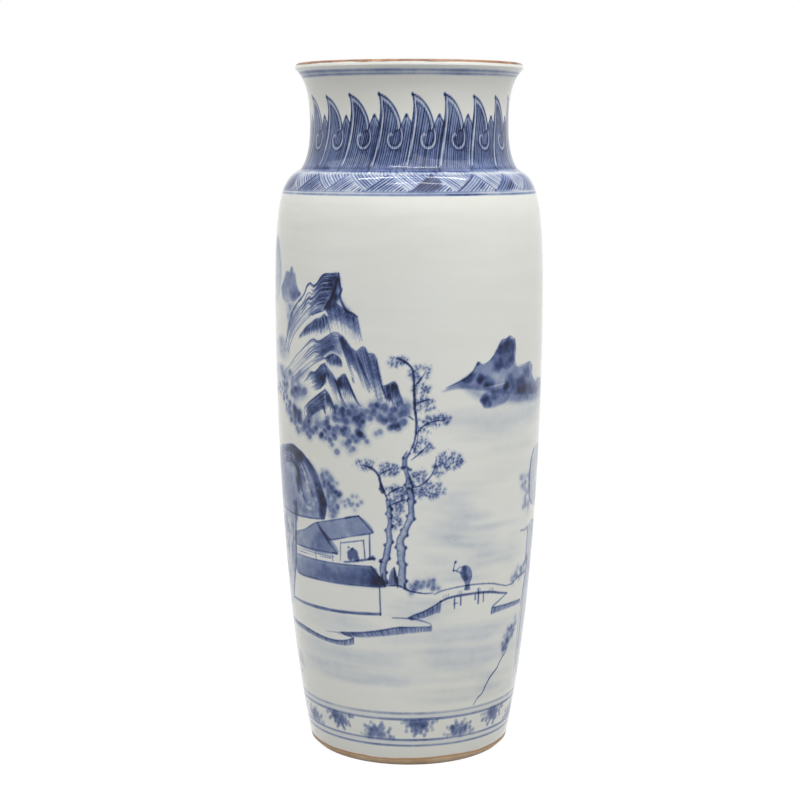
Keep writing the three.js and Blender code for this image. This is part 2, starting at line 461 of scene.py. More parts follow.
# Foot border
# A band of painted porcelain wall just above the foot, under clear glaze.
# Two pairs of blue rings hold a row of half flowers that hang and stand in turn.
CELLS_PER_MM = 4
ROUND_MM = math.tau * BODY_RADIUS * 1000
SHEET_COLUMNS = round(ROUND_MM * CELLS_PER_MM)
PAINTED_HEIGHT_MM = 451
SHEET_ROWS = PAINTED_HEIGHT_MM * CELLS_PER_MM
sheet = np.zeros((SHEET_ROWS, SHEET_COLUMNS), np.float32)


def dab(across, up, radius, ink, soft=0.35, lift=False):
    """Round touches of the brush, in millimetres round the belly and up. In one call they don't pile up."""
    x, y, r, a = (np.atleast_1d(np.asarray(v, np.float64)).ravel() for v in
                  np.broadcast_arrays(across, up, radius, ink))
    x, y, r, edge = x * CELLS_PER_MM, y * CELLS_PER_MM, r * CELLS_PER_MM, soft * CELLS_PER_MM
    reach = int(math.ceil(r.max() + edge))
    step = np.arange(-reach, reach + 1)
    column, row = np.round(x).astype(int), np.round(y).astype(int)
    columns = column[:, None, None] + step[None, None, :] + 0 * step[None, :, None]
    rows = row[:, None, None] + step[None, :, None] + 0 * step[None, None, :]
    away = np.hypot(columns - x[:, None, None], rows - y[:, None, None])
    touch = a[:, None, None] * np.clip((r[:, None, None] - away) / edge + 0.5, 0, 1)
    left, low = columns.min(), rows.min()
    patch = np.zeros((rows.max() - low + 1, columns.max() - left + 1), np.float32)
    np.maximum.at(patch, (rows - low, columns - left), touch)
    over = patch.shape[1] - SHEET_COLUMNS
    if over > 0:
        patch[:, :over] = np.maximum(patch[:, :over], patch[:, SHEET_COLUMNS:])
        patch = patch[:, :SHEET_COLUMNS]
    keep = slice(max(0, -low), min(patch.shape[0], SHEET_ROWS - low))
    places = np.ix_(np.arange(patch.shape[0])[keep] + low,
                    (np.arange(patch.shape[1]) + left) % SHEET_COLUMNS)
    if lift:
        sheet[places] *= 1 - patch[keep]
    else:
        sheet[places] += patch[keep]


def smooth_path(points, spacing=0.35):
    """Points along a smooth line through a few given ones."""
    p = np.array(points, float)
    if len(p) == 2:
        count = max(2, int(np.linalg.norm(p[1] - p[0]) / spacing))
        return p[0] + (p[1] - p[0]) * np.linspace(0, 1, count)[:, None]
    ends = np.vstack([2 * p[0] - p[1], p, 2 * p[-1] - p[-2]])
    parts = []
    for a, b, c, d in zip(ends, ends[1:], ends[2:], ends[3:]):
        count = max(2, int(np.linalg.norm(c - b) / spacing))
        t = np.linspace(0, 1, count, endpoint=False)[:, None]
        parts.append(0.5 * (2 * b + (c - a) * t + (2 * a - 5 * b + 4 * c - d) * t ** 2
                            + (3 * b - a - 3 * c + d) * t ** 3))
    return np.vstack(parts + [p[-1:]])


def stroke(points, width=0.9, ink=0.6, thin=0.45, soft=0.35, lift=False):
    """One brush stroke, thinner at both ends."""
    path = smooth_path(points)
    t = np.linspace(-1, 1, len(path))
    swell = 1 - thin * t ** 2
    dab(path[:, 0], path[:, 1], width / 2 * swell, ink * (0.8 + 0.2 * swell), soft, lift)


def strokes(rows):
    """Single strokes, each a width, an ink and a thinning, and then its points."""
    for width, ink, thin, *line in rows:
        stroke(line, width, ink, thin)


def along_path(points, share):
    path = smooth_path(points)
    run = np.concatenate([[0], np.cumsum(np.linalg.norm(np.diff(path, axis=0), axis=1))])
    return np.stack([np.interp(share * run[-1], run, path[:, k]) for k in (0, 1)], axis=-1)


def wash(outline, ink, feather=1.5, fade=(1.0, 1.0)):
    """A thin wash inside an outline, with soft edges, and with its strength at the foot and the top."""
    corners = smooth_path(list(outline) + [outline[0]], 1.5)[:-1]
    low, high = corners.min(0) - feather, corners.max(0) + feather
    columns = np.arange(int(low[0] * CELLS_PER_MM), int(high[0] * CELLS_PER_MM) + 1)
    rows = np.arange(max(0, int(low[1] * CELLS_PER_MM)), min(SHEET_ROWS, int(high[1] * CELLS_PER_MM) + 1))
    x, y = np.meshgrid(columns / CELLS_PER_MM, rows / CELLS_PER_MM)
    inside = np.zeros(x.shape, bool)
    away = np.full(x.shape, 1e9)
    for (x0, y0), (x1, y1) in zip(corners, np.roll(corners, -1, axis=0)):
        if y0 != y1:
            inside ^= ((y0 > y) != (y1 > y)) & (x < (x1 - x0) * (y - y0) / (y1 - y0) + x0)
        run = (x1 - x0) ** 2 + (y1 - y0) ** 2
        t = np.clip(((x - x0) * (x1 - x0) + (y - y0) * (y1 - y0)) / max(run, 1e-9), 0, 1)
        away = np.minimum(away, (x - x0 - t * (x1 - x0)) ** 2 + (y - y0 - t * (y1 - y0)) ** 2)
    depth = np.sqrt(away) * np.where(inside, 1, -1)
    body = np.clip(depth / feather + 0.5, 0, 1)
    body = body * body * (3 - 2 * body)
    level = np.clip((y - corners[:, 1].min()) / max(np.ptp(corners[:, 1]), 1e-6), 0, 1)
    sheet[np.ix_(rows, columns % SHEET_COLUMNS)] += body * ink * (fade[0] + (fade[1] - fade[0]) * level)


def ring(height, width, ink, drift=0.25):
    """A line round the whole vase, drawn on the wheel with a loaded brush that runs dry."""
    across = np.arange(0, ROUND_MM, 0.4)
    turn = across / ROUND_MM * math.tau
    waver = sum(np.sin(turn * k + chance.uniform(0, 6)) / k for k in (1, 2, 3, 5))
    load = sum(np.sin(turn * k + chance.uniform(0, 6)) for k in (1, 4, 7)) / 3
    dab(across, height + drift * 0.3 * waver, width / 2 * (1 + 0.12 * load), ink * (1 + 0.25 * load), 0.5)


def flower(across, edge, upward):
    """Half a flower on a border ring: a mottled heart with dots round it."""
    way = 1 if upward else -1
    turn = np.linspace(0, math.pi, 9)
    heart = np.stack([across + 8.5 * np.cos(turn), edge + way * (0.3 + 8.0 * np.sin(turn))], axis=1)
    wash(heart, 0.22, 2.4)
    for size, ink in ((2.8, 0.12), (2.1, 0.13), (1.5, 0.14)):
        spots = chance.uniform((-6.4, 0.8), (6.4, 6.4), (8, 2))
        dab(across + spots[:, 0], edge + way * spots[:, 1], size, ink, 1.4)
    for reach, count, size in ((9.4, 8, 1.7), (12.0, 6, 1.5)):
        turn = np.linspace(0.06, math.pi - 0.06, count) + chance.uniform(-0.12, 0.12, count)
        x = across + reach * np.cos(turn) * 1.15
        y = edge + way * np.clip(reach * 0.86 * np.sin(turn) + 0.8, 1.0, 11.0)
        dab(x, y, size + chance.uniform(-0.3, 0.2, count), chance.uniform(0.16, 0.34, count), 1.0)


BORDER_FLOWERS = 8
for height, width, ink in ((37.8, 1.5, 0.19), (35.8, 3.2, 0.06), (33.6, 1.7, 0.33), (19.0, 1.5, 0.38),
                           (17.0, 3.0, 0.05), (15.0, 1.3, 0.36)):
    ring(height, width, ink)
for k in range(BORDER_FLOWERS):
    flower(8 + k * ROUND_MM / BORDER_FLOWERS, 33.0, False)
    flower(42.5 + k * ROUND_MM / BORDER_FLOWERS, 19.6, True)

WALL_TURNS = 920
BAND_INNER_STEPS = 6
BAKE_STRIPS = 4
OUTSIDE_TOLERANCE = 0.001


def heights_at_pitch(low, high, pitch):
    return np.linspace(low, high, max(2, round((high - low) / pitch) + 1))


def carry_paint(piece):
    """Takes the cobalt at each vertex of the outside from the painted sheet."""
    mesh = piece.data
    places = np.empty(len(mesh.vertices) * 3, np.float32)
    mesh.vertices.foreach_get("co", places)
    x, y, z = places.reshape(-1, 3).T
    across = (np.arctan2(x, -y) / math.tau % 1) * SHEET_COLUMNS
    up = np.clip(z * 1000 * CELLS_PER_MM, 0, SHEET_ROWS - 1.001)
    column, row = np.floor(across).astype(int), np.floor(up).astype(int)
    dx, dy = across - column, up - row
    column, beside = column % SHEET_COLUMNS, (column + 1) % SHEET_COLUMNS
    ink = ((sheet[row, column] * (1 - dx) + sheet[row, beside] * dx) * (1 - dy)
           + (sheet[row + 1, column] * (1 - dx) + sheet[row + 1, beside] * dx) * dy)
    outside = np.hypot(x, y) > outer_radius(z) - OUTSIDE_TOLERANCE
    layer = mesh.attributes.new("cobalt", "FLOAT", "POINT")
    layer.data.foreach_set("value", np.where(outside, ink, 0).astype(np.float32))


def lay_out_for_baking(piece, strips):
    """Unrolls the outside of a ring into equal strips, one above another, and its inside into one more."""
    mesh = piece.data
    places = np.empty(len(mesh.vertices) * 3)
    mesh.vertices.foreach_get("co", places)
    x, y, z = places.reshape(-1, 3).T
    corners = np.empty(len(mesh.loops), int)
    mesh.loops.foreach_get("vertex_index", corners)
    sizes = np.empty(len(mesh.polygons), int)
    mesh.polygons.foreach_get("loop_total", sizes)
    face = np.repeat(np.arange(len(sizes)), sizes)
    centre = [np.bincount(face, axis[corners]) / sizes for axis in (x, y, z)]
    turn = np.arctan2(centre[0], -centre[1]) / math.tau % 1
    radius = np.hypot(x, y)
    face_radius = np.bincount(face, radius[corners]) / sizes
    low, high = z.min(), z.max()
    is_outside = face_radius > outer_radius(centre[2]) - OUTSIDE_TOLERANCE
    own = np.arctan2(x[corners], -y[corners]) / math.tau
    own = turn[face] + (own - turn[face] + 0.5) % 1 - 0.5
    strip = np.floor(turn * strips)
    lanes = strips + 0.5
    margin = 0.006
    level = (z[corners] - low) / (high - low)
    u_out = own * strips - strip[face]
    v_out = (strip[face] + margin * lanes + level * (1 - 2 * margin * lanes)) / lanes
    depth = np.clip((outer_radius(z[corners]) - radius[corners]) / BODY_WALL, 0, 1.2)
    lid = (centre[2] > high - 1e-5)[face]
    base = (centre[2] < low + 1e-5)[face]
    rise = np.where(lid, 0.98 - depth * 0.12, np.where(base, 0.02 + depth * 0.12, 0.18 + level * 0.64))
    v_in = (strips + 0.5 * rise) / lanes
    u = np.where(is_outside[face], margin + u_out * (1 - 2 * margin), own)
    v = np.where(is_outside[face], v_out, v_in)
    layer = mesh.uv_layers.new(name="OFBake")
    layer.data.foreach_set("uv", np.stack([np.clip(u, 0, 1), v], axis=1).ravel())


def wall_band(name, heights, nodes):
    """A closed ring of wall with a fine outside that holds the painting, and a plainer inside."""
    low, high = heights[0], heights[-1]
    section = [(outer_radius(h), h) for h in heights]
    section += [(inner_radius(h), h) for h in np.linspace(high, low, BAND_INNER_STEPS)]
    section.append(section[0])
    band = throw_on_wheel(name, section, WALL_TURNS)
    band.data.materials.append(glaze)
    carry_paint(band)
    lay_out_for_baking(band, BAKE_STRIPS)
    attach(band, "root")
    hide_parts(*nodes)


base_joint = (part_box("base_lute")[0][2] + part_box("base_lute")[1][2]) / 2
waist_joint = (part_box("waist_lute")[0][2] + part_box("waist_lute")[1][2]) / 2
neck_joint = (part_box("neck_lute")[0][2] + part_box("neck_lute")[1][2]) / 2

# Landscape wall
# The tall thrown cylinder, painted in cobalt on the raw clay and then dipped in clear glaze.
# Its two sections are made here as six rings, so that each keeps the finest brush lines.


def drag(points, t, width, ink, soft, lift):
    """Draws many strokes at once, each from its loaded start to its dry end."""
    body = np.linspace(-1, 1, t.shape[1])[None, :]
    vary = chance.uniform(0.7, 1.2, len(t))[:, None]
    dab(points[..., 0], points[..., 1], width / 2 * vary * (1 - 0.5 * body ** 2),
        (ink[0] + (ink[1] - ink[0]) * t) * vary, soft, lift)


def comb(tops, feet, count, bow=0.0, width=0.7, ink=(0.6, 0.3), start=0.12, reach=(0.8, 1.0), soft=0.35,
         jitter=0.35, lift=False):
    """Many strokes side by side, from points along one line to points along another."""
    share = (np.arange(count) + 0.5 + chance.uniform(-jitter, jitter, count)) / count
    a, b = along_path(tops, share), along_path(feet, share)
    middle = (a + b) / 2 + bow * np.stack([-(b - a)[:, 1], (b - a)[:, 0]], axis=1)
    dabs = max(4, int(np.linalg.norm(b - a, axis=1).max() / 0.4))
    begin, stop = chance.uniform(0, start, (count, 1)), chance.uniform(*reach, (count, 1))
    t = begin + (stop - begin) * np.linspace(0, 1, dabs)[None, :]
    points = ((1 - t) ** 2)[..., None] * a[:, None] + (2 * t * (1 - t))[..., None] * middle[:, None] \
        + (t ** 2)[..., None] * b[:, None]
    drag(points, t, width, ink, soft, lift)


def arcs(outer, inner, count, width=0.7, ink=(0.6, 0.3), start=0.05, reach=(0.8, 1.0), soft=0.35):
    """Many nested strokes that run along two lines, all the way from the one to the other."""
    share = (np.arange(count) + 0.5 + chance.uniform(-0.4, 0.4, count))[:, None] / count
    dabs = max(4, int(path_length(outer) / 0.4))
    begin, stop = chance.uniform(0, start, (count, 1)), chance.uniform(*reach, (count, 1))
    t = begin + (stop - begin) * np.linspace(0, 1, dabs)[None, :]
    points = along_path(outer, t) * (1 - share)[..., None] + along_path(inner, t) * share[..., None]
    drag(points, t, width, ink, soft, False)


def path_length(points):
    return np.linalg.norm(np.diff(np.array(points, float), axis=0), axis=1).sum()


def between(line_a, line_b, share, count=24):
    """A line that lies part of the way from one line to another."""
    t = np.linspace(0, 1, count)
    return along_path(line_a, t) * (1 - share) + along_path(line_b, t) * share


def blots(at, outlines):
    """Uneven pools of wash, each an ink and a feather and then its outline."""
    for ink, feather, *outline in outlines:
        corners = at(outline)
        middle = corners.mean(0)
        wash(corners, ink * 0.55, feather * 1.3)
        for _ in range(10):
            x, y = middle + (corners[chance.integers(len(corners))] - middle) * chance.uniform(0.1, 0.9)
            dab(x, y, chance.uniform(1.0, 2.6), ink * chance.uniform(0.10, 0.32), 1.8)


def moss(line, spread, count, size=2.0, ink=0.36):
    """Round damp dots of bushes along a line."""
    x, y = (along_path(line, chance.uniform(0, 1, count)) + chance.normal(0, spread, (count, 2))).T
    dab(x, y, size * 1.8, ink * 0.30, size * 1.4)
    dab(x, y, size * chance.uniform(0.65, 1.1, count), ink * chance.uniform(0.3, 0.9, count), 1.2)
    some = chance.uniform(0, 1, count) < 0.35
    dab(x[some] + 0.3, y[some] + 0.4, size * 0.7, ink * chance.uniform(0.2, 0.7, some.sum()), 1.2)


# Each ridge of the mountain: how it is filled, its upper line, its lower or inner line, how many strokes,
# their ink at the start and the end, and how far along they stop.
MOUNTAIN_RIDGES = (
    ("arcs", ((-46, 320), (-52, 319.5), (-57, 319), (-60, 316.5), (-63, 313), (-66, 311.5), (-69, 313),
              (-72, 311), (-74, 307), (-77, 303.5), (-84, 298), (-90, 292), (-94, 284), (-97, 278),
              (-99, 271)),
     ((-57, 296), (-68, 292), (-80, 283), (-88, 276), (-95, 266)), 26, (0.62, 0.22), (0.14, 0.55)),
    ("more", ((-58, 316), (-66, 309), (-74, 303), (-82, 296), (-90, 288), (-96, 279), (-99, 270)),
     ((-60, 299), (-68, 293), (-80, 284), (-88, 277), (-95, 266)), 8, (0.26, 0.24), (0.75, 1.0)),
    ("fall", ((-56, 298), (-50, 302), (-46, 300), (-42, 298), (-38, 296), (-33.5, 293.5)),
     ((-53, 283), (-46, 283), (-41, 281), (-37, 278), (-33, 275.5), (-30, 274)), 44, (0.52, 0.12),
     (0.55, 1.0)),
    ("fall", ((-54.5, 292), (-57, 294), (-60, 291.5), (-64, 290.5), (-68, 288), (-73, 285), (-77, 281.5),
              (-80, 279)),
     ((-52, 282), (-56, 281), (-60, 280), (-65, 279.5), (-70, 279), (-74, 278.5), (-78, 277.5),
      (-81, 276.5)),
     38, (0.55, 0.28), (0.7, 1.0)),
    ("arcs", ((-46, 283), (-50, 283), (-55, 280.5), (-60, 277.5), (-63, 277), (-66, 278), (-69, 277),
              (-73, 274),
              (-78, 270), (-84, 266), (-90, 261), (-96, 257), (-101, 254)),
     ((-50, 268), (-60, 265), (-70, 260), (-80, 253), (-88, 249)), 20, (0.56, 0.22), (0.2, 0.62)),
    ("more", ((-58, 278), (-66, 275), (-76, 269), (-86, 262), (-99, 255)),
     ((-56, 267), (-66, 262), (-76, 256), (-84, 251), (-90, 249)), 8, (0.28, 0.24), (0.8, 1.0)),
    ("fall", ((-17.5, 251), (-14, 252), (-10, 254), (-8, 252), (-6.5, 247)),
     ((-15, 241), (-13, 239), (-9, 237.5), (-5, 238), (-3, 240)), 20, (0.55, 0.34), (0.7, 1.0)),
    ("fall", ((-34, 272), (-30, 275), (-28, 274.5), (-26, 271), (-23, 271), (-20.5, 268)),
     ((-26, 247), (-23, 245), (-21, 243), (-19, 242), (-17, 241), (-14, 240)), 26, (0.46, 0.30),
     (0.75, 1.0)),
    ("fall", ((-47, 283), (-43, 281), (-40, 277.5), (-37, 274), (-34, 272)),
     ((-36, 253), (-32, 250), (-28, 246), (-24, 245), (-21, 243)), 34, (0.58, 0.22), (0.4, 1.0)),
    ("fall", ((-57, 266), (-53, 268.5), (-50, 269.5), (-46, 268), (-44, 265)),
     ((-55, 262), (-52, 261), (-49, 260), (-46, 260), (-43.5, 261)), 20, (0.60, 0.25), (0.6, 1.0)),
    ("fall", ((-48.5, 252.5), (-45, 256), (-42, 257.5), (-40, 254), (-37, 248)),
     ((-46, 246), (-43, 242), (-40, 240), (-35, 239), (-31, 237)), 24, (0.56, 0.25), (0.6, 1.0)),
    ("arcs", ((-56.5, 263.5), (-60, 262), (-63, 259), (-66, 257), (-69, 257), (-72, 254), (-76, 250)),
     ((-56, 252), (-59, 249), (-62, 247), (-65, 246), (-68, 245.5)), 24, (0.60, 0.22), (0.55, 1.0)),
    ("fall", ((-57, 263.5), (-54, 260), (-51, 257), (-48, 252)),
     ((-52, 243), (-48, 240), (-44, 237.5), (-41, 236.5)), 20, (0.52, 0.20), (0.5, 1.0)),
    ("arcs", ((-57, 247), (-60, 245), (-66, 241), (-72, 237), (-76.5, 232.5), (-75, 226)),
     ((-57.5, 235), (-61, 234), (-65, 232), (-68, 230), (-70, 228), (-71, 226)), 18, (0.55, 0.34),
     (0.6, 1.0)),
    ("fall", ((-57, 247), (-54, 244), (-51, 238.5)),
     ((-55, 234), (-51, 232), (-47.5, 231.5)), 15, (0.55, 0.20), (0.6, 1.0)))

MOUNTAIN_DARKS = (
    (0.62, 3.0, (-53, 318), (-46.5, 319.5), (-45, 311), (-46, 304), (-48, 299), (-56, 297.5), (-53, 306)),
    (0.34, 4.0, (-60, 317), (-47, 319), (-46, 306), (-56, 300), (-63, 304)),
    (0.20, 2.5, (-45, 309), (-44, 303), (-40, 298), (-34, 294), (-38, 291), (-46, 297)),
    (0.20, 3.5, (-70, 288), (-58, 292), (-57, 287), (-66, 283), (-74, 282)),
    (0.28, 3.0, (-51, 280), (-44, 281), (-41, 274), (-45, 268), (-52, 272)),
    (0.16, 3.0, (-62, 277), (-50, 281), (-48, 272), (-58, 270)),
    (0.24, 2.5, (-54, 267), (-45, 267), (-45, 263), (-52, 262.5)),
    (0.26, 2.5, (-66, 256), (-58, 261), (-54, 257), (-57, 250), (-63, 251)),
    (0.30, 2.0, (-48, 253), (-43, 256), (-42, 251), (-46, 249)),
    (0.32, 2.5, (-62, 244), (-56, 245), (-54, 240), (-57, 233), (-61, 237)),
    (0.26, 3.5, (-73, 235), (-62, 238), (-62, 226), (-72, 224)),
    (0.34, 2.0, (-16, 251), (-9, 252.5), (-7, 246), (-13, 243)),
    (0.20, 2.5, (-30, 273), (-22, 270), (-18, 254), (-24, 252)),
    (0.16, 3.5, (-90, 292), (-80, 296), (-84, 286), (-94, 276), (-96, 282)),
    (0.26, 3.5, (-112, 257), (-98, 257), (-88, 255), (-92, 250), (-108, 250)),
    (0.20, 3.5, (-92, 299), (-84, 298), (-88, 290), (-93, 282), (-96, 290)),
    (0.16, 4.0, (-112, 276), (-100, 276), (-92, 268), (-98, 262), (-112, 264)),
    (0.22, 4.5, (-93, 241), (-88, 246), (-82, 249), (-76, 247), (-74, 241), (-80, 237), (-88, 237)),
    (0.30, 3.0, (-92, 250), (-80, 257), (-70, 260), (-72, 256), (-82, 250), (-92, 246)),
    (0.22, 3.5, (-46, 240), (-30, 240), (-29, 228), (-38, 225), (-46, 229)),
    (0.22, 3.0, (-25, 243), (-12, 240), (-10, 232), (-20, 229), (-26, 234)),
    (0.22, 3.0, (-9, 244), (0, 243), (0, 232), (-7, 233)))

MOUNTAIN_EDGES = (
    (1.7, 0.60, (-46, 320), (-45, 312), (-44, 310), (-45, 306), (-43, 301), (-40, 297), (-36, 295.5),
     (-33, 293.5)),
    (0.8, 0.40, (-33, 293.3), (-31.5, 286), (-30, 279)),
    (2.4, 0.50, (-47, 316), (-49, 310), (-51.5, 304), (-55, 299.5), (-57, 297)),
    (0.8, 0.30, (-77, 303), (-84, 298), (-90, 290), (-94, 282), (-99, 271)),
    (0.8, 0.40, (-57, 294), (-54.5, 291), (-53, 286), (-51.5, 281.5)),
    (0.9, 0.45, (-20.5, 268), (-20, 262), (-18.5, 255), (-17, 250), (-14, 243)),
    (0.9, 0.50, (-37, 256), (-36, 253.5), (-35.4, 252.4)),
    (1.0, 0.40, (-57, 263), (-56, 258), (-58, 252), (-61, 247)),
    (0.9, 0.45, (-42, 257.5), (-38.5, 251), (-35, 243), (-31, 238)),
    (0.9, 0.40, (-51, 257), (-48, 252), (-45, 244), (-41, 237)),
    (1.2, 0.50, (-58.5, 236), (-57.5, 232.5), (-57, 231.5)),
    (0.8, 0.45, (-13, 247), (-11, 242), (-9, 237.5)))


def massif(at, ink=1.0):
    """A mountain of folded ridges over a belt of bushes."""
    for kind, upper, lower, count, (dark, pale), reach in MOUNTAIN_RIDGES:
        upper, lower = at(upper), at(lower)
        if kind == "more":
            arcs(upper, lower, count, 0.85, (dark * ink, pale * ink), 0.25, reach)
            continue
        stroke(upper + (0, 1.7), 2.0, 0.75, 0.2, 0.6, True)
        if kind == "arcs":
            near, far = along_path(upper, np.linspace(0, reach[0] + 0.15, 9)), along_path(lower,
                                                                                          np.linspace(
                reach[0] + 0.15, 0, 9))
            wash(np.vstack([near, far]), 0.11 * ink, 3.0)
            arcs(upper, lower, count, 0.75, (dark * ink, pale * ink), 0.05, reach)
        else:
            wash(np.vstack([upper, between(upper, lower, 0.55)[::-3]]), 0.26 * ink, 2.4, (0.3, 1.2))
            comb(upper, lower, count, 0.0, 0.65, (dark * ink, pale * ink), 0.08, reach)
        stroke(upper, 0.9, 0.30 * ink)
    blots(at, [(share * ink, *rest) for share, *rest in MOUNTAIN_DARKS])
    for width, share, *line in MOUNTAIN_EDGES:
        stroke(at(line), width, share * ink)
    stroke(at([(-48, 269.8), (-44.3, 267.4), (-40.5, 260), (-37.4, 254.8)]), 1.1, 0.75, 0.4, 0.4, True)
    for reach in (2.0, 3.7, 5.4, 7.0):
        stroke(at([(-68 - reach, 228 - reach * 0.3), (-67.4 - reach * 0.5, 229 + reach * 0.8),
                   (-67, 229 + reach), (-66.6 + reach * 0.7, 229 + reach * 0.5)]), 0.8, 0.34 * ink)
    moss(at([(-102, 240), (-94, 230), (-84, 224), (-70, 221), (-56, 223), (-46, 219), (-38, 213)]), 3.0,
         100, 2.1,
         0.36 * ink)
    moss(at([(-50, 232), (-40, 234), (-32, 230), (-22, 235), (-12, 232), (-3, 236)]), 3.2, 96, 2.2,
         0.36 * ink)
    for line in ([(-89, 242), (-82, 245), (-77, 242)], [(-89, 227), (-82, 229), (-77, 223)]):
        moss(at(line), 1.8, 12, 2.8, 0.26 * ink)
    moss(at([(-58, 218), (-48, 216), (-36, 218), (-24, 223), (-12, 224), (-2, 226)]), 2.6, 22, 1.9,
         0.32 * ink)


def straight(points):
    return np.array(points, float)


def placed(shift, scale=1.0, mirror=1, pivot=(-50, 230)):
    """Moves a motif to another place round the vase, smaller or the other way round."""
    return lambda points: (np.array(points, float) - pivot) * (scale * mirror, scale) + pivot + shift


# distant peaks in plain wash, left and right of the mountain
wash([(-104, 301), (-106, 308), (-101, 312), (-98, 318), (-96, 319), (-92, 318.6), (-90.5, 321.6),
      (-88, 321.8),
      (-87, 318.4), (-84.6, 318), (-83.4, 313), (-81, 308), (-77, 304), (-79, 300.6), (-90, 300),
      (-98, 299)],
     0.34, 1.6, (0.45, 1.0))
blots(straight, (
    (0.30, 3.0, (-92, 307), (-84, 309), (-78, 304.5), (-80, 301), (-90, 301.5)),
    (0.18, 4.0, (-104, 312), (-96, 318), (-88, 319), (-86, 309), (-98, 302), (-105, 304)),
    (0.14, 4.0, (-100, 300), (-86, 300), (-80, 298), (-88, 292), (-98, 294))))
wash([(-160, 291), (-151, 298), (-144, 307), (-139, 318), (-134, 329), (-126, 337), (-116, 339),
      (-108, 328),
      (-106, 316), (-110, 303), (-118, 297), (-136, 291)], 0.26, 4.0, (0.2, 1.3))
wash([(20, 247.5), (26, 251), (34, 255), (40, 258.5), (42, 262), (44.5, 264.8), (47, 263.5), (51, 264),
      (55, 266.5),
      (58, 270), (61, 274), (63, 277), (66, 277.4), (69.5, 279.3), (72, 277.6), (75, 277), (75.5, 272),
      (74.6, 266),
      (76, 261), (80, 259.6), (86, 260), (94, 261), (95.4, 259.4), (98, 258.4), (97.4, 254), (99.6, 251),
      (104, 247),
      (112, 249), (122, 246), (120, 240), (96, 240), (70, 243), (48, 247), (34, 249)], 0.46, 2.0,
      (0.35, 1.20))
wash([(30, 252), (60, 250), (90, 250), (122, 246), (124, 236), (96, 235), (70, 237), (46, 241)], 0.20, 6.0)
blots(straight, (
    (0.50, 2.4, (60, 262), (62, 272), (66, 277), (73, 276.5), (74.5, 268), (74, 262), (68, 259)),
    (0.46, 2.4, (55, 259), (57, 264), (62, 266), (64, 261), (60, 258)),
    (0.30, 2.0, (54, 266), (58, 271), (62, 276), (63, 270), (58, 265)),
    (0.52, 2.0, (43, 254), (46, 258), (49.5, 254.5), (46, 251.6)),
    (0.48, 2.2, (48.5, 250), (51, 256), (57.5, 252), (56, 248.8), (51, 248.4)),
    (0.38, 2.0, (33, 254), (40, 258.5), (43, 258), (40, 253), (35, 252)),
    (0.40, 2.0, (64.6, 247.2), (68, 251), (70.6, 248), (67, 246.2)),
    (0.34, 3.4, (68, 256), (78, 258), (81, 250), (74, 246), (67, 250)),
    (0.44, 3.0, (77, 251), (84, 253), (90, 247), (88, 242.6), (80, 243)),
    (0.24, 3.0, (84, 258), (92, 259), (95, 252), (86, 251)),
    (0.40, 3.6, (70, 248), (100, 246), (110, 241), (92, 238), (72, 239)),
    (0.40, 1.6, (46, 241), (49, 245), (56, 247), (64, 246.5), (70, 244), (69, 239), (60, 236), (52, 235.5),
     (48, 237.5)),
    (0.46, 1.8, (46.5, 241), (49, 244.5), (53, 243), (54.5, 237), (50, 236))))
for width, ink, *line in (
        (0.9, 0.42, (23, 250), (30, 252.8), (37, 256), (42, 261), (44.5, 264.8), (47, 263.2)),
        (0.9, 0.42, (50, 263.6), (55, 266.8), (60, 273.2), (63, 277.5), (67, 278), (70.5, 279.5),
         (75, 277.2)),
        (0.8, 0.38, (75, 277), (76, 271), (75.4, 265), (77, 261)),
        (0.8, 0.26, (80, 260.3), (88, 260.6), (94, 261), (98, 257), (99, 251), (103, 247))):
    stroke(line, width, ink)
dab(44.4, 264.0, 1.2, 0.45, 0.7)
stroke([(50, 248.6), (58, 249.2), (66, 250.2)], 1.1, 0.5, 0.4, 0.8, True)
for low, high, ink in ((228, 238, 0.05), (222, 232, 0.03)):
    wash([(20, low), (60, low - 4), (120, low), (120, high), (60, high), (20, high - 3)], ink, 5)

massif(straight)


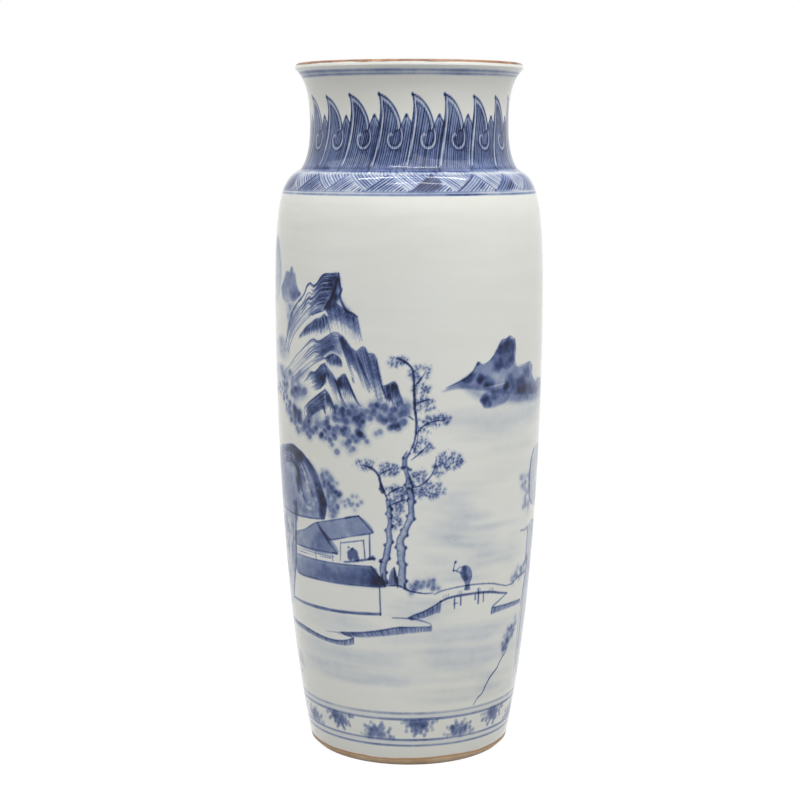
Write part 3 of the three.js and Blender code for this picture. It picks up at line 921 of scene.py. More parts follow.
# the great boulder at the left, with its bushes
def boulder(at, ink=1.0):
    """A rounded boulder drawn with nested strokes that follow its back."""
    back = at([(-122, 201), (-112, 204.5), (-102, 206), (-92, 207.5), (-84, 205.3), (-78, 202.5),
               (-72, 198),
               (-67, 193), (-63.5, 186), (-61, 180), (-58.8, 174), (-59.5, 168), (-61, 163.5)])
    core = at([(-118, 188), (-108, 193), (-98, 196), (-92, 195), (-87, 191), (-86, 186), (-86, 181),
               (-85, 176), (-82, 172), (-80, 168), (-78, 163)])
    floor = at([(-61, 163.5), (-68, 162.6), (-78, 162), (-92, 161.5), (-112, 162)])
    wash(np.vstack([smooth_path(back, 3), smooth_path(floor, 3)]), 0.23 * ink, 1.8)
    for _ in range(46):
        x, y = along_path(between(back, core, chance.uniform(0.05, 1.25)), chance.uniform(0.2, 0.97))
        dab(x, y, chance.uniform(1.4, 3.4), chance.uniform(0.03, 0.13) * ink, 2.6)
    blots(at, [(share * ink, *rest) for share, *rest in (
        (0.28, 2.4, (-78, 201), (-70, 196), (-64, 185), (-59, 174), (-61, 164), (-66, 165), (-66, 178),
         (-72, 190)),
        (0.20, 2.5, (-64, 182), (-59, 174), (-61, 164), (-65, 168)),
        (0.30, 3.0, (-91, 191), (-85, 192), (-84, 180), (-88, 177), (-90, 183)),
        (0.20, 3.5, (-104, 206), (-90, 207), (-78, 201), (-84, 198), (-98, 201)),
        (0.16, 5.0, (-110, 192), (-94, 188), (-92, 172), (-108, 168)))])
    for share in np.linspace(0.06, 1.0, 18):
        line = between(back, core, share)
        first = chance.integers(0, 10)
        stroke(line[first:first + chance.integers(6, 15)], chance.uniform(0.9, 2.0),
               chance.uniform(0.12, 0.30) * ink, 0.8, 0.7)
    for x, y in ((-83, 194), (-80, 191), (-79, 185), (-77.5, 181), (-78, 170), (-73, 169), (-70, 174),
                 (-84, 177),
                 (-100, 199), (-108, 198), (-94, 201), (-72, 184)):
        light = at(chance.normal(0, 1.5, (5, 2)) + (x, y))
        dab(light[:, 0], light[:, 1], chance.uniform(0.6, 1.4, 5), chance.uniform(0.25, 0.65, 5), 1.2, True)
    stroke(at([(-74, 199), (-67.5, 191), (-64.5, 182), (-62, 172), (-63, 164.6)]), 7.0, 0.20 * ink, 0.5,
           2.8)
    stroke(at([(-106, 203), (-95, 204.5), (-85, 202), (-77, 198.5)]), 5.5, 0.13 * ink, 0.5, 2.4)
    stroke(at([(-89, 196), (-86.6, 191), (-87, 184), (-86.4, 177)]), 3.0, 0.40 * ink, 0.6, 1.4)
    arcs(back, core, 16, 0.6, (0.16 * ink, 0.30 * ink), 0.7, (0.65, 1.0))
    stroke(floor, 1.2, 0.4 * ink)
    stroke(back, 1.0, 0.34 * ink)


def mist_at_foot(at):
    """Lifts the colour along the foot of a boulder that stands in mist."""
    for rise, share in ((0, 0.88), (5, 0.50), (10, 0.25)):
        stroke(at([(-156, 164), (-136, 161), (-112, 160), (-90, 160), (-70, 161), (-54, 164)]) + (0, rise),
               10.0, share, 0.2, 5.0, True)


def boulder_end(at, ink=1.0, at_foot=0.0):
    """The far end of a boulder, where its back runs down again."""
    back = at([(-122, 201), (-131, 198), (-139, 192), (-145, 183), (-149, 173), (-151, 163)])
    core = at([(-118, 188), (-124, 186), (-129, 181), (-132, 174), (-133, 166)])
    foot = at([(-151, 163), (-140, 161.5), (-126, 161.5), (-112, 162)])
    wash(np.vstack([smooth_path(back, 3), smooth_path(foot, 3)]), 0.23 * ink, 1.8,
         (at_foot, 1.3 - 0.3 * at_foot))
    blots(at, [(0.26 * ink, 3.5, (-120, 200), (-138, 190), (-148, 174), (-140, 170), (-130, 182),
                (-117, 189))])
    for share in np.linspace(0.06, 1.0, 12):
        line = between(back, core, share)
        first = chance.integers(0, 8)
        stroke(line[first:first + chance.integers(7, 15)], chance.uniform(0.9, 2.0),
               chance.uniform(0.12, 0.30) * ink, 0.8, 0.7)
    arcs(back, core, 16, 0.6, (0.28 * ink, 0.12 * ink), 0.05, (0.6, 1.0))
    stroke(back, 1.0, 0.34 * ink)
    for rise in (0, 6):
        stroke(at([(-158, 165), (-148, 160), (-136, 160)]) + (0, rise), 9.0, 0.6 - 0.5 * at_foot, 0.2, 5.0,
               True)


boulder(straight)
wash([(-63, 196), (-56, 196), (-50, 188), (-48, 178), (-50, 167), (-58, 165), (-57, 176), (-62, 186)], 0.12,
     4)
moss([(-58, 194), (-59, 187), (-54, 183), (-54, 175), (-53, 168)], 2.4, 54, 1.8, 0.27)
moss([(-50, 187), (-47, 181), (-42, 175), (-33, 176)], 1.8, 22, 1.3, 0.26)


# the two trees in the middle
def sprig(x, y, wide, tall, twigs, ink=0.32):
    """A tuft of leaves: hair-fine twigs with dots at their ends, over a breath of wash."""
    angle = chance.uniform(0, math.tau, twigs)
    out = np.sqrt(chance.uniform(0.02, 1, twigs))
    tip = np.stack([x + wide * out * np.cos(angle), y + tall * out * np.sin(angle)], axis=1)
    root = tip + np.stack([-np.cos(angle) * 1.5 + chance.normal(0, 0.9, twigs),
                           -np.abs(chance.normal(2.2, 0.8, twigs))], axis=1)
    t = np.linspace(0, 1, 9)[None, :, None]
    lines = root[:, None] * (1 - t) + tip[:, None] * t
    dab(tip[:, 0], tip[:, 1], 1.5, ink * chance.uniform(0.25, 0.6, twigs), 1.8)
    dab(lines[..., 0], lines[..., 1], 0.25, ink * 0.6, 0.4)
    dab(tip[:, 0], tip[:, 1], chance.uniform(0.4, 0.6, twigs), ink * chance.uniform(0.5, 1.1, twigs), 0.5)
    side = (tip + chance.normal(0, 1.6, (twigs, 2)))[::2]
    dab(side[:, 0], side[:, 1], 0.45, ink * 0.6, 0.5)


def trunk(path, low_width, high_width, ink=0.7):
    """A knotted trunk: two dark edges, a body of even wash, short strokes of bark and outward knots."""
    line = smooth_path(path, 0.6)
    along = np.gradient(line, axis=0)
    side = np.stack([along[:, 1], -along[:, 0]], axis=1) / np.linalg.norm(along, axis=1)[:, None]
    steps = np.arange(len(line))
    edges = []
    for way in (-1, 1):
        half = np.linspace(low_width, high_width, len(line)) / 2
        half += 0.2 * sum(np.sin(steps / k + chance.uniform(0, 6)) for k in (3.0, 5.2, 9.0))
        knots = np.arange(chance.integers(5, 12), len(line) - 5, 17) + chance.integers(-2, 3)
        half += 0.95 * np.exp(-((steps[:, None] - knots) / 1.8) ** 2).sum(1)
        edges.append(line + side * (half * way)[:, None])
        for knot in edges[-1][knots]:
            dab(knot[0], knot[1], chance.uniform(0.8, 1.2), 0.5 * ink, 0.8)
    left, right = edges
    wash(np.vstack([left[::3], right[::-3]]), 0.32 * ink, 0.8)
    stroke(right[::2] - side[::2] * 0.5, 1.8, 0.24 * ink, 0.2, 1.0)
    for edge in (left, right):
        stroke(edge[::2], 0.8, 0.56 * ink, 0.2)
    comb(left[::5], right[::5], max(4, int(len(line) / 6)), 0.25, 0.4, (0.40 * ink, 0.05), 0.2, (0.3, 0.6))


trunk([(-5.5, 122.5), (-5, 133), (-5.5, 145), (-6.2, 153), (-3, 160), (0.4, 168), (1.0, 180), (0, 186),
       (-1, 193), (-2.8, 201), (-3.2, 206), (-0.5, 210)], 5.0, 2.4)
trunk([(-16.5, 125), (-18, 134), (-16, 143), (-13.2, 152), (-13.5, 160), (-13, 170), (-14, 180)], 4.0, 2.3)
strokes((
    (1.5, 0.75, 0.7, (-0.5, 209), (3, 217), (4.2, 228), (3.2, 238), (2.6, 250), (2.2, 260), (-0.5, 265),
     (-5, 268)),
    (0.7, 0.5, 0.5, (2.0, 209), (4.6, 217), (5.4, 227)),
    (1.5, 0.75, 0.6, (-14, 179), (-16.5, 185), (-18.6, 190), (-20, 195), (-24, 199), (-30, 201)),
    (1.6, 0.5, 0.6, (-3.5, 126), (-3, 123), (-0.5, 121)),
    (1.4, 0.5, 0.5, (-8, 124), (-9.6, 130), (-10.4, 136)),
    (1.3, 0.45, 0.5, (-18, 132), (-18.6, 127), (-16.8, 124.4)),
    (1.1, 0.5, 0.5, (-20.6, 139.6), (-18, 139)),
    (0.9, 0.6, 0.6, (0, 187), (7, 189), (13, 194), (16, 200), (17, 207)),
    (0.8, 0.6, 0.6, (4, 221), (8, 226), (14, 229), (22, 230)),
    (0.8, 0.6, 0.6, (1, 205), (6, 209), (11, 214)),
    (0.8, 0.6, 0.6, (3, 240), (8, 242), (13, 243)), (0.8, 0.6, 0.6, (2.6, 251), (7, 256), (10, 261)),
    (0.8, 0.6, 0.6, (-14, 172), (-10, 168), (-6, 165)),
    (0.8, 0.6, 0.6, (-15, 182), (-10, 186), (-4, 188)),
    (0.8, 0.6, 0.6, (-20, 195), (-15, 198), (-10, 200)),
    (0.8, 0.6, 0.6, (-13, 176), (-8, 178), (-3, 180)),
    (0.8, 0.6, 0.6, (3, 230), (-1, 233)), (0.8, 0.6, 0.6, (2, 262), (-4, 267), (-10, 269.5))))
dab([-18.4, -17.4, -18.6], [186.5, 184.8, 188.5], [1.4, 1.3, 0.9], 0.7, 0.6)
dab([-3.9, -3.4, 0.6, -0.6, 1.9], [206.4, 200.4, 199, 187, 186], [1.0, 1.1, 1.0, 1.1, 1.1], 0.45, 0.6)
for x, y, wide, tall, twigs in (
        (-8, 267, 7, 3, 30), (6, 260, 7, 5, 36), (7, 249, 6, 5, 26), (9, 240, 8, 4, 32),
        (16, 230, 11, 3.6, 50),
        (8, 222, 4, 5, 10), (8, 213, 7, 4, 34), (25, 204, 10, 5.5, 66), (18, 198, 4, 4, 12),
        (7, 193, 8, 5, 40),
        (15, 186, 8, 4.5, 40), (5, 184, 3, 3, 10), (-29, 202, 6, 3.4, 34), (-14, 199, 7, 4, 38),
        (-9, 185, 7, 4, 34), (-8, 176, 6, 5, 30), (-9, 166, 5, 4.5, 26), (-3, 181, 3, 3, 8)):
    sprig(x, y, wide, tall, twigs)

# the pavilion, the garden wall and the bank
MAIN_ROOF = [(-69, 160), (-52, 164), (-34, 168), (-24, 158.2), (-40, 154.5), (-58, 150)]
SIDE_ROOF = [(-96, 150), (-82, 153.5), (-70, 159.5), (-64, 157), (-51, 142), (-94, 141.5)]
WALL_ROOF = [(-95, 135), (-60, 135.3), (-26, 135.6), (-22, 131), (-17, 123.4), (-60, 122.2), (-96, 122)]
wash(MAIN_ROOF, 0.29, 0.9, (1.15, 0.85))
wash([(-46, 163), (-34, 167.5), (-25, 158.5), (-38, 155)], 0.08, 5)
wash(SIDE_ROOF, 0.29, 0.9)
wash([(-66, 156), (-52, 143), (-76, 142), (-72, 150)], 0.14, 4)
wash(WALL_ROOF, 0.28, 0.9, (1.3, 0.8))
for left, ink in ((-80, 0.07), (-64, 0.07), (-46, 0.07), (-34, 0.09), (-26, 0.24)):
    wash([(left, 134), (-26, 135), (-21, 130), (-17.5, 123.8), (left, 123)], ink, 4)
comb([(-94, 135), (-26, 135.8)], [(-95, 122.5), (-17.5, 123.5)], 40, 0.0, 1.8, (0.04, 0.06), soft=1.2)
strokes((
    (0.8, 0.30, 0.2, (-69, 160), (-52, 164), (-34, 168)), (0.9, 0.30, 0.2, (-58, 150), (-24, 158)),
    (1.0, 0.50, 0.2, (-34, 168), (-24, 158)), (1.1, 0.36, 0.2, (-44, 166), (-34, 168.2)),
    (0.8, 0.26, 0.2, (-94, 150), (-82, 153.5), (-70, 159.5), (-66, 160)),
    (0.9, 0.34, 0.2, (-94, 141.5), (-51, 142)),
    (1.1, 0.40, 0.3, (-66, 157), (-61, 152), (-57, 147.5), (-51, 142)),
    (1.4, 0.40, 0.3, (-55, 142.4), (-51, 141.4)),
    (1.5, 0.50, 0.3, (-46, 137), (-38, 138.3), (-30, 140), (-24, 141.2)),
    (0.8, 0.35, 0.1, (-94, 135.2), (-60, 135.2), (-26, 135.9)),
    (1.1, 0.50, 0.1, (-26, 135.8), (-22, 131), (-16.5, 123.3)),
    (0.8, 0.30, 0.1, (-96, 122.2), (-60, 122.1), (-17, 122.9)),
    (1.0, 0.60, 0.2, (-20.5, 122.5), (-20.3, 104)),
    (2.0, 0.46, 0.25, (-108, 103), (-80, 103), (-50, 103.6), (-20.2, 105)),
    (0.7, 0.30, 0.1, (-60, 103), (-20.2, 104)),
    (0.7, 0.55, 0.2, (-48.2, 150), (-49, 137.5)), (0.7, 0.55, 0.2, (-48, 149.3), (-31, 152.6)),
    (0.9, 0.55, 0.2, (-31, 152.5), (-30.3, 141)), (0.9, 0.55, 0.2, (-26.6, 157), (-26.8, 142)),
    (0.6, 0.55, 0.2, (-71, 140.8), (-71, 135.6)), (0.6, 0.55, 0.2, (-55.5, 141), (-55.2, 136.5)),
    (0.4, 0.55, 0.2, (-92, 139.3), (-54, 139.5)), (0.4, 0.55, 0.2, (-66, 138), (-56, 138.3)),
    (0.4, 0.55, 0.2, (-92, 137.6), (-72, 138)),
    (1.0, 0.55, 0.5, (-17, 123.5), (-10, 124), (-6, 123.6), (-2, 121.4), (3, 120), (10, 118.9),
     (16, 118.8))))
for k in range(6):
    stroke([(-68 + 2.1 * k, 140.5), (-68.3 + 2.1 * k, 137.6)], 0.4, 0.4, 0.2)
dab([-27, -25, -23.8], [141, 141.6, 141], [1.2, 1.5, 1.1], 0.45, 0.7)
dab([-40.8, -38, -41, -37, -39.4, -36], [143, 143.5, 140.8, 141, 145, 140], [2.5, 2.7, 2.2, 2.2, 1.6, 1.6],
    0.62, 0.8)
dab([-42.2, -40.2, -38.8], [147, 146.2, 146.6], [0.8, 0.6, 0.7], 0.5, 0.5)
wash([(-14, 124), (-13, 133), (-10, 136), (-8.5, 130), (-8, 124.5)], 0.30, 1.2)
for x, high in ((-13.5, 131), (-12, 134), (-10.5, 136), (-9.5, 133), (-8.6, 128), (-15, 128)):
    stroke([(x, 124.3), (x + 0.3, high)], 0.9, 0.34, 0.5)
moss([(1, 122), (6, 125), (12, 124), (17, 124)], 1.5, 26, 1.8, 0.30)


# hatched banks of the water
def bank(tops, feet, ink=0.42):
    """A shore line with short falling strokes under it."""
    wash(np.vstack([smooth_path(tops, 3), smooth_path(feet, 3)[::-1]]), 0.24, 1.0)
    comb(tops, feet, int(path_length(tops) / 1.15), 0.0, 0.7, (ink, 0.18))
    stroke(tops, 1.1, 0.46, 0.3)


bank([(-1, 102.8), (4, 105), (10, 107), (17, 110.5), (22, 113.5)],
     [(1, 101), (6, 102), (11, 103), (17, 105), (21.5, 106)])
bank([(-52, 89.5), (-36, 91.2), (-20, 94), (-9, 96.2), (2, 96.6), (15, 96.6)],
     [(-48, 87.6), (-35, 88), (-20, 90), (-9, 91.5), (2, 92.6), (15, 93.6)])
bank([(-116, 86.6), (-92, 86), (-78, 84.6), (-66, 83.4), (-56, 83.4), (-48, 84.6), (-41.5, 86.8)],
     [(-116, 84), (-92, 83), (-78, 82), (-66, 81), (-56, 80.6), (-48, 81), (-42, 82.6)])
bank([(64, 104.2), (80, 103.8), (100, 103)], [(63.4, 100), (80, 100.6), (100, 100.6)], 0.34)

# the bridge and the figure that crosses it
strokes((
    (0.7, 0.30, 0.45, (-66, 88.3), (-58, 88.8), (-50, 89.6)),
    (0.9, 0.42, 0.4, (-12, 102.6), (-4, 102.6), (3, 102), (9, 100.6), (14, 98.8), (15.6, 96.5),
     (15.2, 93.5)),
    (0.8, 0.40, 0.4, (-55, 88.6), (-48, 88.4), (-42, 87), (-41.6, 83)),
    (0.85, 0.55, 0.3, (17, 118), (22, 120), (32, 121.6), (45, 122.2), (60, 121), (70, 118.6),
     (77, 116.8), (84, 116.6)),
    (0.9, 0.45, 0.4, (84, 116.6), (89, 118.8), (96, 120.2), (106, 120.6)),
    (1.6, 0.60, 0.3, (21.5, 113), (27, 115), (36, 116.1), (50, 116.2), (62, 115), (70, 113.2),
     (78.5, 111.5)),
    (1.0, 0.50, 0.3, (78.5, 111.5), (71, 108.2), (64, 104.8), (63, 100.2)),
    (0.9, 0.60, 0.1, (31.6, 114.5), (31.8, 107.8)), (0.9, 0.60, 0.1, (36.2, 115.5), (36.4, 109.3)),
    (1.2, 0.60, 0.1, (50.3, 119), (50.5, 109)), (0.9, 0.60, 0.1, (54.6, 115.5), (54.8, 109.6)),
    (0.9, 0.60, 0.1, (47.6, 115.5), (47.8, 111.8)), (0.7, 0.50, 0.2, (31.4, 110.8), (34, 111.2)),
    (0.8, 0.50, 0.3, (36.6, 130.2), (33.4, 132), (30.6, 133)),
    (0.6, 0.60, 0.2, (29.9, 132.4), (30.4, 135.4), (31.3, 138.4)),
    (0.7, 0.40, 0.3, (32.4, 133), (34.6, 134.6), (37.2, 135))))
for x, foot in ((23.6, 115.3), (25.2, 115.8), (26.8, 116), (34, 117), (35.4, 117.2), (36.8, 117.2),
                (49, 117.2),
                (51.6, 117), (60, 116.4), (61.6, 116.2), (63.2, 116)):
    stroke([(x, foot), (x + 0.1, foot + 1.7)], 0.55, 0.42, 0.1)
ROBE = [(38.6, 119.3), (43, 119.3), (42.4, 123), (43.9, 127), (43.6, 131), (41.4, 134.2), (38.4, 135.4),
        (36.4, 134.2), (35.4, 131), (36.4, 128), (38.8, 124.6), (39.4, 122)]
wash(ROBE, 0.38, 0.8)
stroke(ROBE + ROBE[:1], 0.7, 0.22, 0.2)
dab([38.2, 38.2, 38.8, 39.6, 40.6], [133.6, 131.4, 129, 126.6, 121], 1.6, [0.34, 0.3, 0.3, 0.24, 0.26], 0.9)
dab(42.6, 129, 0.8, 0.35, 0.8, True)
dab([31.4, 30.2], [138.4, 133], [0.9, 0.7], [0.5, 0.35], 0.5)

# the cliff, the old trees and the twig at the right, and the rocks at the left edge
behind_cliff = placed((211, 0), 0.8, -1, (-60, 185))
boulder(behind_cliff, 0.85)
mist_at_foot(behind_cliff)
moss([(90, 180), (95, 186), (98, 181), (95, 174), (98, 167), (102, 165)], 2.4, 44, 2.1, 0.20)
wash([(110, 204), (104, 200), (101, 190), (100.5, 180), (103, 171), (110, 165), (122, 163), (133, 166),
      (139, 173), (141, 182), (138, 192), (131, 200), (121, 204.5)], 0.14, 2.5)
wash([(100, 152), (104, 148), (104, 132), (108, 122), (102, 104), (104, 90), (106, 60), (112, 50),
      (120, 47),
      (129, 54), (126, 68), (133, 82), (129, 98), (136, 114), (131, 128), (133, 140), (125, 150),
      (112, 154)],
     0.13, 3.0)
for width, ink, *line in (
        (2.4, 0.30, (91, 151), (97, 150.4), (103, 150), (104.4, 140), (104.6, 132), (107, 124), (105, 112),
         (103, 99)),
        (1.9, 0.18, (103, 98), (102, 84), (104, 66), (106, 50)),
        (1.6, 0.16, (108, 146), (109, 130), (108, 114), (107, 96), (107, 76), (109, 56)),
        (2.6, 0.28, (108, 203.6), (103, 197), (101, 187), (101.4, 177), (104, 170), (111, 165))):
    stroke(line, width, ink, 0.5, 1.0)
moss([(84, 120), (91, 122), (98, 124), (106, 130)], 1.6, 30, 1.8, 0.26)
stroke([(53.5, 39.5), (57, 43.6), (61.5, 46.6), (64, 51), (68, 56), (71.5, 58.6), (75, 61), (78, 65),
        (81, 68),
        (84, 70), (86, 74)], 0.95, 0.62, 0.4)
moss([(79, 77), (83, 75), (86, 79), (89, 84), (94, 88)], 2.0, 38, 1.8, 0.30)
blots(straight, (
    (0.26, 2.5, (80, 73), (85, 72), (88, 78), (84, 80)),
    (0.16, 4.0, (104, 152), (112, 140), (110, 118), (118, 96), (132, 96), (130, 150)),
    (0.24, 4.0, (-120, 160), (-94, 162), (-94, 148), (-97, 132), (-104, 114), (-110, 100), (-126, 100)),
    (0.20, 4.0, (-116, 160), (-96, 166), (-94, 150), (-100, 146), (-110, 150)),
    (0.36, 2.6, (-95, 170), (-89, 170), (-89, 162), (-92, 157), (-95, 162)),
    (0.24, 3.5, (-104, 138), (-96, 142), (-97, 128), (-104, 120))))
for width, ink, *line in (
        (2.4, 0.40, (-91, 172), (-92, 164), (-94, 152), (-95.5, 140), (-98, 129), (-102, 119), (-107, 109),
         (-110, 102)),
        (1.2, 0.26, (-98, 160), (-99, 148), (-103, 136), (-108, 124), (-114, 112)),
        (1.4, 0.22, (-106, 158), (-108, 144), (-112, 130), (-118, 116)),
        (2.0, 0.18, (-90, 150), (-97, 146), (-105, 138))):
    stroke(line, width, ink, 0.45, 0.9)
stroke([(-107, 156), (-104, 150)], 4.0, 0.6, 0.3, 2.0, True)
for x, y in ((-114, 152), (-116, 138), (-118, 122)):
    sprig(x, y, 6, 6, 26, 0.34)
moss([(-118, 56), (-110, 62), (-106, 58), (-112, 66)], 2.4, 16, 2.0, 0.16)

# water and mist, in broad level strokes of the palest wash
for left, right, low, high, count, ink in (
        (-20, 108, 46, 98, 12, 0.020), (10, 80, 66, 96, 6, 0.022), (56, 82, 48, 60, 3, 0.018),
        (-100, -8, 58, 82, 8, 0.028), (8, 62, 126, 190, 11, 0.024), (18, 44, 148, 184, 6, 0.022),
        (30, 96, 128, 164, 5, 0.022), (-16, 34, 99, 117, 5, 0.024), (-90, -22, 90, 102, 4, 0.018),
        (30, 100, 190, 232, 6, 0.014), (130, 250, 50, 88, 12, 0.026), (-270, -130, 60, 102, 13, 0.026),
        (190, 270, 118, 160, 8, 0.024), (-290, -220, 140, 170, 6, 0.022)):
    for _ in range(5):
        begin, stop = np.sort(chance.uniform(left, right, (2, count)), axis=0)
        t = np.linspace(0, 1, 48)
        begin, stop = begin - 0.12 * (right - left), stop + 0.12 * (right - left)
        x = begin[:, None] + (stop - begin)[:, None] * t
        y = chance.uniform(low, high, (count, 1)) - 0.03 * (x - left)
        dab(x, y, chance.uniform(0.8, 3.4, (count, 1)), ink * np.sin(math.pi * t) ** 0.6, 2.8)

# the far side: a second mountain, islets, a boat and reeds, in the same hand
far_shore = placed((255, -14), 0.86, -1)
above_boat = placed((-130, -30), 0.9, 1, (-60, 185))
massif(far_shore, 0.95)
boulder(above_boat, 0.9)
mist_at_foot(above_boat)
moss([(-186, 158), (-180, 148), (-172, 140), (-166, 136)], 2.4, 30, 1.9, 0.30)
wash([(124, 270), (132, 282), (140, 288), (146, 300), (152, 297), (158, 285), (168, 276), (176, 262),
      (150, 258), (130, 260)], 0.34, 3, (-0.1, 1.5))
wash([(-216, 276), (-208, 290), (-198, 299), (-190, 296), (-182, 286), (-170, 279), (-160, 266),
      (-190, 262), (-210, 266)], 0.34, 3, (-0.1, 1.5))
trunk([(166, 98), (168, 112), (164, 126), (167, 140), (172, 152), (170, 166), (174, 178)], 5.0, 2.2)
trunk([(182, 97), (180, 110), (184, 122), (182, 134), (186, 146)], 3.8, 1.8)
strokes((
    (0.9, 0.30, 0.45, (-214, 279), (-208, 290), (-198, 299), (-190, 296), (-182, 286)),
    (0.9, 0.60, 0.6, (174, 178), (180, 184), (188, 188)),
    (0.9, 0.60, 0.6, (171, 160), (178, 164), (186, 165)),
    (0.9, 0.60, 0.6, (170, 168), (163, 174), (157, 176)),
    (0.9, 0.60, 0.6, (186, 146), (192, 152), (199, 154)),
    (0.9, 0.60, 0.6, (184, 134), (190, 138)), (0.9, 0.60, 0.6, (174, 178), (170, 186), (166, 192)),
    (1.3, 0.55, 0.3, (-252, 128), (-244, 124.4), (-234, 123), (-222, 123.6), (-213, 127.4)),
    (0.6, 0.40, 0.3, (-250, 127.6), (-240, 126.6), (-226, 126.6), (-214, 127.6))))
for x, y, wide, tall, twigs in ((190, 188, 9, 4.5, 46), (168, 193, 8, 4.5, 40), (156, 177, 7, 4, 34),
                                (186, 166, 8, 4.5, 40), (200, 155, 8, 4.2, 40), (190, 140, 6, 4, 26),
                                (177, 200, 7, 4, 30)):
    sprig(x, y, wide, tall, twigs)
bank([(120, 92), (136, 95), (156, 97.5), (176, 98), (194, 96), (206, 92)],
     [(122, 88), (136, 90), (156, 93), (176, 93.6), (194, 91.6), (206, 89)])
bank([(-160, 92), (-148, 93), (-132, 90), (-116, 86.6)], [(-160, 88), (-148, 89), (-132, 86), (-116, 83)])
bank([(232, 74), (246, 77.5), (262, 78), (276, 75)], [(233, 71), (246, 73), (262, 74), (275, 72.4)])
bank([(-228, 108), (-212, 111), (-192, 112), (-174, 109), (-160, 103)],
     [(-226, 104.6), (-212, 106.6), (-192, 107.6), (-174, 105), (-161, 99.6)])
moss([(124, 97), (136, 100), (150, 101), (160, 100)], 1.8, 26, 1.8, 0.28)
moss([(236, 80), (246, 83), (258, 83), (268, 80)], 1.8, 24, 1.9, 0.28)
moss([(-222, 113), (-208, 117), (-194, 117), (-180, 113)], 2.0, 32, 1.9, 0.28)
wash([(-240, 127), (-238, 132), (-232, 133.6), (-226, 132), (-224, 127)], 0.34, 0.8)
comb([(-239, 132), (-226, 132)], [(-240, 127), (-224, 127)], 16, 0.0, 0.5, (0.4, 0.3))
for k in range(11):
    x = 238 + 2.4 * k
    stroke([(x, 78), (x + 0.6, 86 + 4 * math.sin(k)), (x + 2.2 + math.sin(2 * k), 93 + 5 * math.sin(k))],
           0.6, 0.42, 0.7)

# the far ends of the boulders, of the cliff, of the rock and of the mountain's foot
boulder_end(straight, 1.0, 1.0)
boulder_end(behind_cliff, 0.85)
boulder_end(above_boat, 0.9)
for at in (straight, far_shore):
    wash(at([(-104, 277), (-112, 276), (-122, 272), (-134, 266), (-148, 261), (-130, 260), (-112, 262),
             (-100, 263)]), 0.11, 5.0, (0.3, 1.3))
    wash(at([(-104, 258), (-116, 257.5), (-128, 255), (-142, 250), (-124, 247.5), (-106, 249)]), 0.15, 4.0,
         (0.4, 1.3))
    moss(at([(-98, 247), (-106, 243), (-116, 243), (-124, 240)]), 2.4, 26, 1.9, 0.26)
wash([(-119, 161), (-129, 158), (-137, 150), (-141, 138), (-139, 126), (-145, 114), (-143, 104), (-134, 98),
      (-125, 99)], 0.15, 4.5)
arcs([(119, 204.4), (130, 200), (138, 191), (140.5, 181), (138, 172)],
     [(118, 192), (125, 190), (129, 184), (129, 177)], 12, 0.7, (0.14, 0.26), 0.3, (0.6, 1.0))
for tops, feet, count in (([(112, 154), (125, 150), (133, 140)], [(114, 140), (123, 132), (127, 126)], 16),
                          ([(118, 124), (130, 128), (136, 114)], [(117, 108), (125, 104), (130, 100)], 16),
                          ([(114, 96), (129, 98), (133, 82)], [(115, 78), (123, 76), (127, 70)], 16),
                          ([(-118, 160), (-130, 158), (-139, 146)], [(-122, 142), (-130, 138), (-137, 130)],
                           18),
                          ([(-124, 130), (-138, 126), (-145, 114)], [(-126, 110), (-134, 106), (-140, 101)],
                           16)):
    comb(tops, feet, count, 0.1, 0.7, (0.26, 0.10), 0.1, (0.5, 1.0), 0.6)
for width, ink, *line in (
        (1.6, 0.26, (119, 204.6), (130, 200.6), (138, 192), (141, 182), (139, 173), (132, 165.6)),
        (1.8, 0.26, (111, 154.4), (125, 150.4), (132.6, 141), (131, 128)),
        (1.6, 0.24, (131, 128), (135.6, 114), (129.4, 99)),
        (1.6, 0.22, (129.4, 99), (133, 82), (126.4, 68), (129, 54)),
        (2.0, 0.30, (-110, 163), (-124, 161), (-134, 154), (-141, 140), (-139, 127)),
        (1.8, 0.26, (-139, 127), (-145, 114), (-143, 104), (-134, 98))):
    stroke(line, width, ink, 0.5, 0.8)
for x, y in ((-131, 146), (-134, 118)):
    sprig(x, y, 6, 6, 26, 0.34)
blots(straight, (
    (0.26, 4.0, (117, 202), (130, 198), (137, 186), (129, 182), (119, 190)),
    (0.20, 4.0, (116, 178), (130, 176), (136, 170), (128, 166), (116, 167)),
    (0.22, 4.0, (-118, 198), (-128, 192), (-128, 172), (-116, 168), (-108, 180))))
moss([(120, 49), (128, 52), (136, 54)], 2.0, 18, 1.8, 0.26)
moss([(132, 160), (137, 158), (142, 162)], 1.8, 20, 1.8, 0.26)
moss([(-146, 100), (-138, 97), (-128, 98)], 2.0, 24, 1.8, 0.28)
moss([(-154, 164), (-150, 160), (-144, 158), (-150, 168)], 2.0, 26, 1.9, 0.28)

